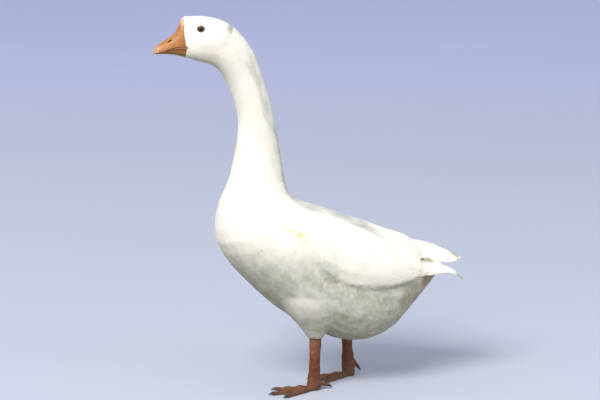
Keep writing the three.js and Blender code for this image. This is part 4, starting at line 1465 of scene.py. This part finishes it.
# GREY and BROWN colour real marks and painted shade alike.
GREY = (0.36, 0.385, 0.33)
BROWN = (0.36, 0.27, 0.17)
YELLOW = (0.62, 0.62, 0.28)
# Light that passes through a feather.
THROUGH = {"Subsurface Weight": 0.12, "Subsurface Radius": (1.0, 0.92, 0.8), "Subsurface Scale": 0.003}


def marked(work, base):
    """The base colour with the plumage's grey, brown and yellow marks over it, the grey and brown partly
    painted shade.
    """
    grey, brown, yellow = work.parts(work.attribute("marks", "Vector"))[:3]
    return work.mix(yellow, work.mix(brown, work.mix(grey, base, GREY), BROWN), YELLOW)


def plumage_material():
    """White body feathers: soft, a little uneven, each with its shaft and fine barbs."""
    work = Finish("plumage", 0.82, **{"Sheen Weight": 0.12, "Sheen Roughness": 0.5, **THROUGH})
    across, along = work.parts(work.attribute("vane", "Vector"))[:2]
    off = work.math("ABSOLUTE", work.math("SUBTRACT", across, 0.5))
    rake = work.scaled(off, -11.0, work.times(along, 15.0))
    barbs = work.math("SINE", work.times(rake, 6.283))
    shaft = work.span(off, 0.012, 0.035, 1.0, 0.0)
    uneven = work.noise(34.0, 4)
    fine = work.noise(420.0, 2)
    colour = work.mix(work.span(uneven, 0.35, 0.7), WHITE, (0.86, 0.83, 0.74))
    colour = marked(work, colour)
    light = work.scaled(barbs, 0.018, 0.985)
    light = work.scaled(work.attribute("tone"), 0.05, work.math("SUBTRACT", light, 0.03))
    light = work.scaled(work.math("SUBTRACT", fine, 0.5), 0.06, light)
    height = work.math("ADD", work.times(barbs, 0.35), work.times(shaft, 0.8))
    return work.finish(work.shaded(colour, light), height, 0.06 * MM, 0.5)


def flight_material():
    """Long vanes: raked barbs either side of a horn-coloured shaft, worn and dusky at the tip."""
    work = Finish("flight_vane", 0.6, **{"Sheen Weight": 0.08, **THROUGH})
    vane = node(work.tree, "ShaderNodeUVMap", uv_map="vane").outputs[0]
    across, along = work.parts(vane)[:2]
    off = work.math("ABSOLUTE", work.math("SUBTRACT", across, 0.012))
    rake = work.scaled(off, -5200.0, work.times(along, 6800.0))
    barbs = work.math("SINE", rake)
    uneven = work.noise(26.0, 4, (1, 0.35, 1))
    colour = work.mix(work.span(uneven, 0.35, 0.7), (0.88, 0.865, 0.81), (0.84, 0.81, 0.72))
    colour = marked(work, colour)
    light = work.scaled(barbs, 0.03, 0.98)
    return work.finish(work.shaded(colour, light), barbs, 0.08 * MM, 0.5)


def bill_material():
    """Orange bill skin: pinkish at its root above, painted shadow under the lip, painted shade along the
    mouth and in the nostrils, olive below, finely pitted.
    """
    work = Finish("bill_skin", 0.42, **{"Specular IOR Level": 0.35,
        "Subsurface Weight": 0.2, "Subsurface Radius": (1.0, 0.35, 0.12), "Subsurface Scale": 0.002})
    _, y, z = work.parts(work.place)[:3]
    lip, nostril = work.attribute("lip"), work.attribute("nostril")
    broad, fine = work.noise(55.0, 4), work.noise(900.0, 3)
    streak = work.noise(150.0, 3, (1, 0.25, 1))
    colour = work.mix(work.span(broad, 0.35, 0.65), (0.33, 0.125, 0.026), (0.39, 0.17, 0.045))
    root = work.times(work.span(y, -0.240, -0.230), work.span(z, 0.648, 0.668))
    colour = work.over(colour, root, (0.78, 0.52, 0.40), 0.7)
    olive = work.span(lip, -7.0, -11.0)
    colour = work.over(colour, olive, (0.30, 0.18, 0.05), 0.75)
    # painted shadow on the lower bill, round the groove under the upper bill's edge
    band = work.times(work.span(lip, -3.3, -4.3), work.span(lip, -9.0, -6.6))
    colour = work.over(colour, band, (0.19, 0.07, 0.018), 0.75)
    edge = work.times(work.span(lip, -0.1, -0.7), work.span(lip, -4.2, -3.2))
    colour = work.over(colour, edge, (0.46, 0.24, 0.13), 0.7)
    # painted shade along the mouth's gap between the two halves
    line = work.times(work.span(lip, 1.3, 0.5), work.span(lip, -0.6, 0.0))
    colour = work.over(colour, line, (0.12, 0.04, 0.014), 0.8)
    tip = work.span(y, -0.264, -0.276)
    colour = work.over(colour, tip, (0.50, 0.29, 0.15), 0.5)
    # painted shade inside the pressed-in nostrils
    colour = work.over(colour, nostril, (0.03, 0.012, 0.008), 0.94)
    light = work.scaled(streak, 0.22, 0.89)
    rough = work.span(broad, 0.3, 0.7, 0.38, 0.52)
    comb = work.times(work.math("SINE", work.times(y, 5200.0)), edge)
    height = work.math("ADD", fine, work.times(streak, 0.8))
    height = work.math("ADD", height, work.times(comb, 0.7))
    return work.finish(work.shaded(colour, light), height, 0.16 * MM, 0.5, rough)


def nail_material():
    work = Finish("nail_horn", 0.35, **{"Coat Weight": 0.15, "Coat Roughness": 0.3})
    _, y, z = work.parts(work.place)[:3]
    grain = work.noise(260.0, 3, (0.3, 1, 1))
    colour = work.mix(work.span(y, -0.268, -0.281), (0.37, 0.165, 0.05), (0.42, 0.27, 0.15))
    colour = work.mix(work.span(z, 0.606, 0.6), colour, (0.20, 0.14, 0.07))
    light = work.scaled(grain, 0.3, 0.85)
    return work.finish(work.shaded(colour, light), grain, 0.1 * MM, 0.5)


def eye_material():
    """A dark brown iris round a black pupil, under a wet clear front."""
    work = Finish("eye_ball", 0.08, **{
        "Coat Weight": 0.5, "Coat Roughness": 0.02, "Coat IOR": 1.34, "IOR": 1.34})
    x, y, z = work.parts(work.place)[:3]
    local = node(work.tree, "ShaderNodeCombineXYZ", {"X": work.math("ABSOLUTE", x), "Y": y, "Z": z})
    off = vector_math(work.tree, "SUBTRACT", local.outputs[0], tuple(EYE_CENTRE))
    out = tuple(eye_axes(1)[0])
    ahead = node(work.tree, "ShaderNodeVectorMath", {0: off, 1: out}, operation="DOT_PRODUCT")
    front = work.math("DIVIDE", ahead.outputs["Value"], EYE_RADIUS)
    fibre = work.noise(900.0, 3)
    iris = work.mix(fibre, (0.045, 0.022, 0.010), (0.12, 0.06, 0.028))
    colour = work.mix(work.span(front, 0.86, 0.89), iris, (0.004, 0.004, 0.005))
    colour = work.mix(work.span(front, 0.72, 0.62), colour, (0.01, 0.008, 0.008))
    return work.finish(colour)


def lid_material():
    """Thin dark bare rims, with short white down outside them."""
    work = Finish("lid_skin", 0.55, **{"Subsurface Weight": 0.1, "Subsurface Scale": 0.001})
    folds = work.cells(900.0)
    bare = work.mix(work.noise(300.0), (0.05, 0.04, 0.032), (0.16, 0.125, 0.10))
    down = work.mix(work.noise(500.0), WHITE, (0.72, 0.70, 0.64))
    colour = work.mix(work.span(work.attribute("rim"), 1.1, 1.24), bare, down)
    return work.finish(colour, folds, 0.12 * MM, 0.7)


def leg_material():
    """Reddish-brown leg skin: greyer towards the web, with dark seams that are pale by the ankle."""
    work = Finish("leg_skin", 0.48, **{"Specular IOR Level": 0.3,
        "Subsurface Weight": 0.12, "Subsurface Radius": (1.0, 0.35, 0.2), "Subsurface Scale": 0.0015})
    z = work.parts(work.place)["Z"]
    groove = work.attribute("groove")
    broad, fine = work.noise(42.0, 4), work.noise(600.0, 3)
    colour = work.mix(work.span(broad, 0.35, 0.65), (0.12, 0.028, 0.01), (0.16, 0.048, 0.018))
    foot = work.span(z, 0.034, 0.012)
    colour = work.over(colour, foot, (0.125, 0.07, 0.042), 0.5)
    sole = work.span(z, 0.006, 0.001)
    colour = work.over(colour, sole, (0.07, 0.045, 0.03), 0.6)
    ankle = work.span(z, 0.056, 0.072)
    seam = work.mix(ankle, (0.05, 0.018, 0.01), (0.40, 0.23, 0.14))
    clear = work.scaled(ankle, 0.25, 0.6)
    colour = work.mix(work.times(groove, clear), colour, seam)
    height = work.math("SUBTRACT", work.times(fine, 0.6), groove)
    light = work.scaled(fine, 0.3, 0.85)
    rough = work.span(broad, 0.3, 0.7, 0.42, 0.58)
    return work.finish(work.shaded(colour, light), height, 0.25 * MM, 0.5, rough)


def claw_material():
    work = Finish("claw_horn", 0.5, **{"Specular IOR Level": 0.3})
    grain = work.noise(300.0, 3, (1, 0.25, 1))
    colour = work.mix(work.span(grain, 0.3, 0.7), (0.022, 0.026, 0.021), (0.075, 0.075, 0.06))
    return work.finish(colour, grain, 0.12 * MM, 0.6)


# ---- stage

TARGET = np.array([0, -19.56, 339]) * MM
CAMERA = np.array([3478, -758.6, 902]) * MM
LENS = 120  # on a 36 mm sensor
WARM = (1.0, 0.965, 0.90)
LAMPS = (("key", (5.2, -4.2, 6.2), 4.0, 960), ("fill", (2.6, 2.6, 1.2), 2.2, 38))  # place, size and power
FLOOR = 30  # half the floor's width in metres


def floor_material():
    """Pale paint, deeper in colour and lighter further from the bird, painted light that makes up for the
    lamps' falloff there.
    """
    work = Finish("floor_paint", 0.9)
    away = node(work.tree, "ShaderNodeVectorMath", {0: work.place}, operation="LENGTH").outputs["Value"]
    # the far floor is painted lighter to make up for the lamps' falloff
    colour = work.mix(work.span(away, 0.3, 9.0), (0.441, 0.473, 0.573), (0.553, 0.584, 0.846))
    light = work.scaled(work.noise(1.5, 4), 0.03, 0.985)
    return work.finish(work.shaded(colour, light))


def sky():
    """Even light from above and less from below."""
    world = bpy.data.worlds.new("world")
    world.use_nodes = True
    tree = world.node_tree
    around = node(tree, "ShaderNodeTexCoord").outputs["Generated"]
    height = node(tree, "ShaderNodeSeparateXYZ", {"Vector": around}).outputs["Z"]
    share = node(tree, "ShaderNodeMapRange", {"Value": height, "From Min": -0.5, "From Max": 0.35}).outputs[0]
    background = tree.nodes["Background"]
    tree.links.new(mix_node(tree, share, (0.34, 0.33, 0.29), (0.80, 0.83, 0.92)), background.inputs["Color"])
    background.inputs["Strength"].default_value = 0.78
    return world


def build_stage():
    data = bpy.data.cameras.new("camera")
    data.lens = LENS
    data.sensor_width = 36
    data.clip_start = 0.1
    data.clip_end = 60
    camera = add_object("camera", data)
    camera.location = CAMERA
    camera.rotation_euler = Vector(TARGET - CAMERA).to_track_quat("-Z", "Y").to_euler()
    bpy.context.scene.camera = camera

    corners = [(-FLOOR, -FLOOR, 0), (FLOOR, -FLOOR, 0), (FLOOR, FLOOR, 0), (-FLOOR, FLOOR, 0)]
    floor = add_object("floor", new_mesh("floor", corners, [(0, 1, 2, 3)]))
    floor.data.materials.append(floor_material())
    floor.visible_diffuse = False  # the paint's colour doesn't tint the bird from below

    bpy.context.scene.world = sky()
    for name, place, size, power in LAMPS:
        lamp = bpy.data.lights.new(name, "AREA")
        lamp.size = size
        lamp.energy = power
        lamp.color = WARM
        held = add_object(name, lamp)
        held.location = place
        held.rotation_euler = (Vector(TARGET) - Vector(place)).to_track_quat("-Z", "Y").to_euler()
    bpy.context.scene.view_settings.view_transform = "Standard"


# ---- assembly

def carried(made, slot, *replaced):
    """Puts a finished piece on the bird and hides the CAD nodes that it stands for. slot is not used."""
    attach(made, "root")
    if replaced:
        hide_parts(*replaced)


VANE_GROUP = vane_collection()
FEATHERS = feather_tree()
PLUMAGE = plumage_material()
FLIGHT = flight_material()
BILL = bill_material()
NAIL = nail_material()
EYE = eye_material()
LID = lid_material()
LEG = leg_material()
CLAW = claw_material()

flesh = Flesh()
skin = build_skin(flesh)
skin.data.materials.append(PLUMAGE)
carried(skin, "plumage", *FLESH)
sheet = WingSheet()
for piece in body_coat(flesh, skin, sheet):
    carried(piece, "plumage")
for side in SIDES:
    carried(secondaries(side, sheet), "flight_feathers")
    carried(tertials(side, skin), "flight_feathers")
    carried(primaries(side), "flight_feathers", f"primaries_{side}")
    carried(build_eye(side), "eye", f"eye_{side}")
    carried(build_lids(side), "plumage")
    leg, nodes = build_leg(side)
    carried(leg, "leg_skin", *nodes)
    for toe in ("inner", "middle", "outer", "hind"):
        claw = reworked(f"horn_{side}_{toe}", [f"claw_{side}_{toe}"], 0.4 * MM, 8)
        claw.data.materials.append(CLAW)
        carried(claw, "claw", f"claw_{side}_{toe}")
carried(tail_feathers(), "flight_feathers", "tail")
for piece, nodes, slot in build_bill():
    carried(piece, slot, *nodes)

build_stage()
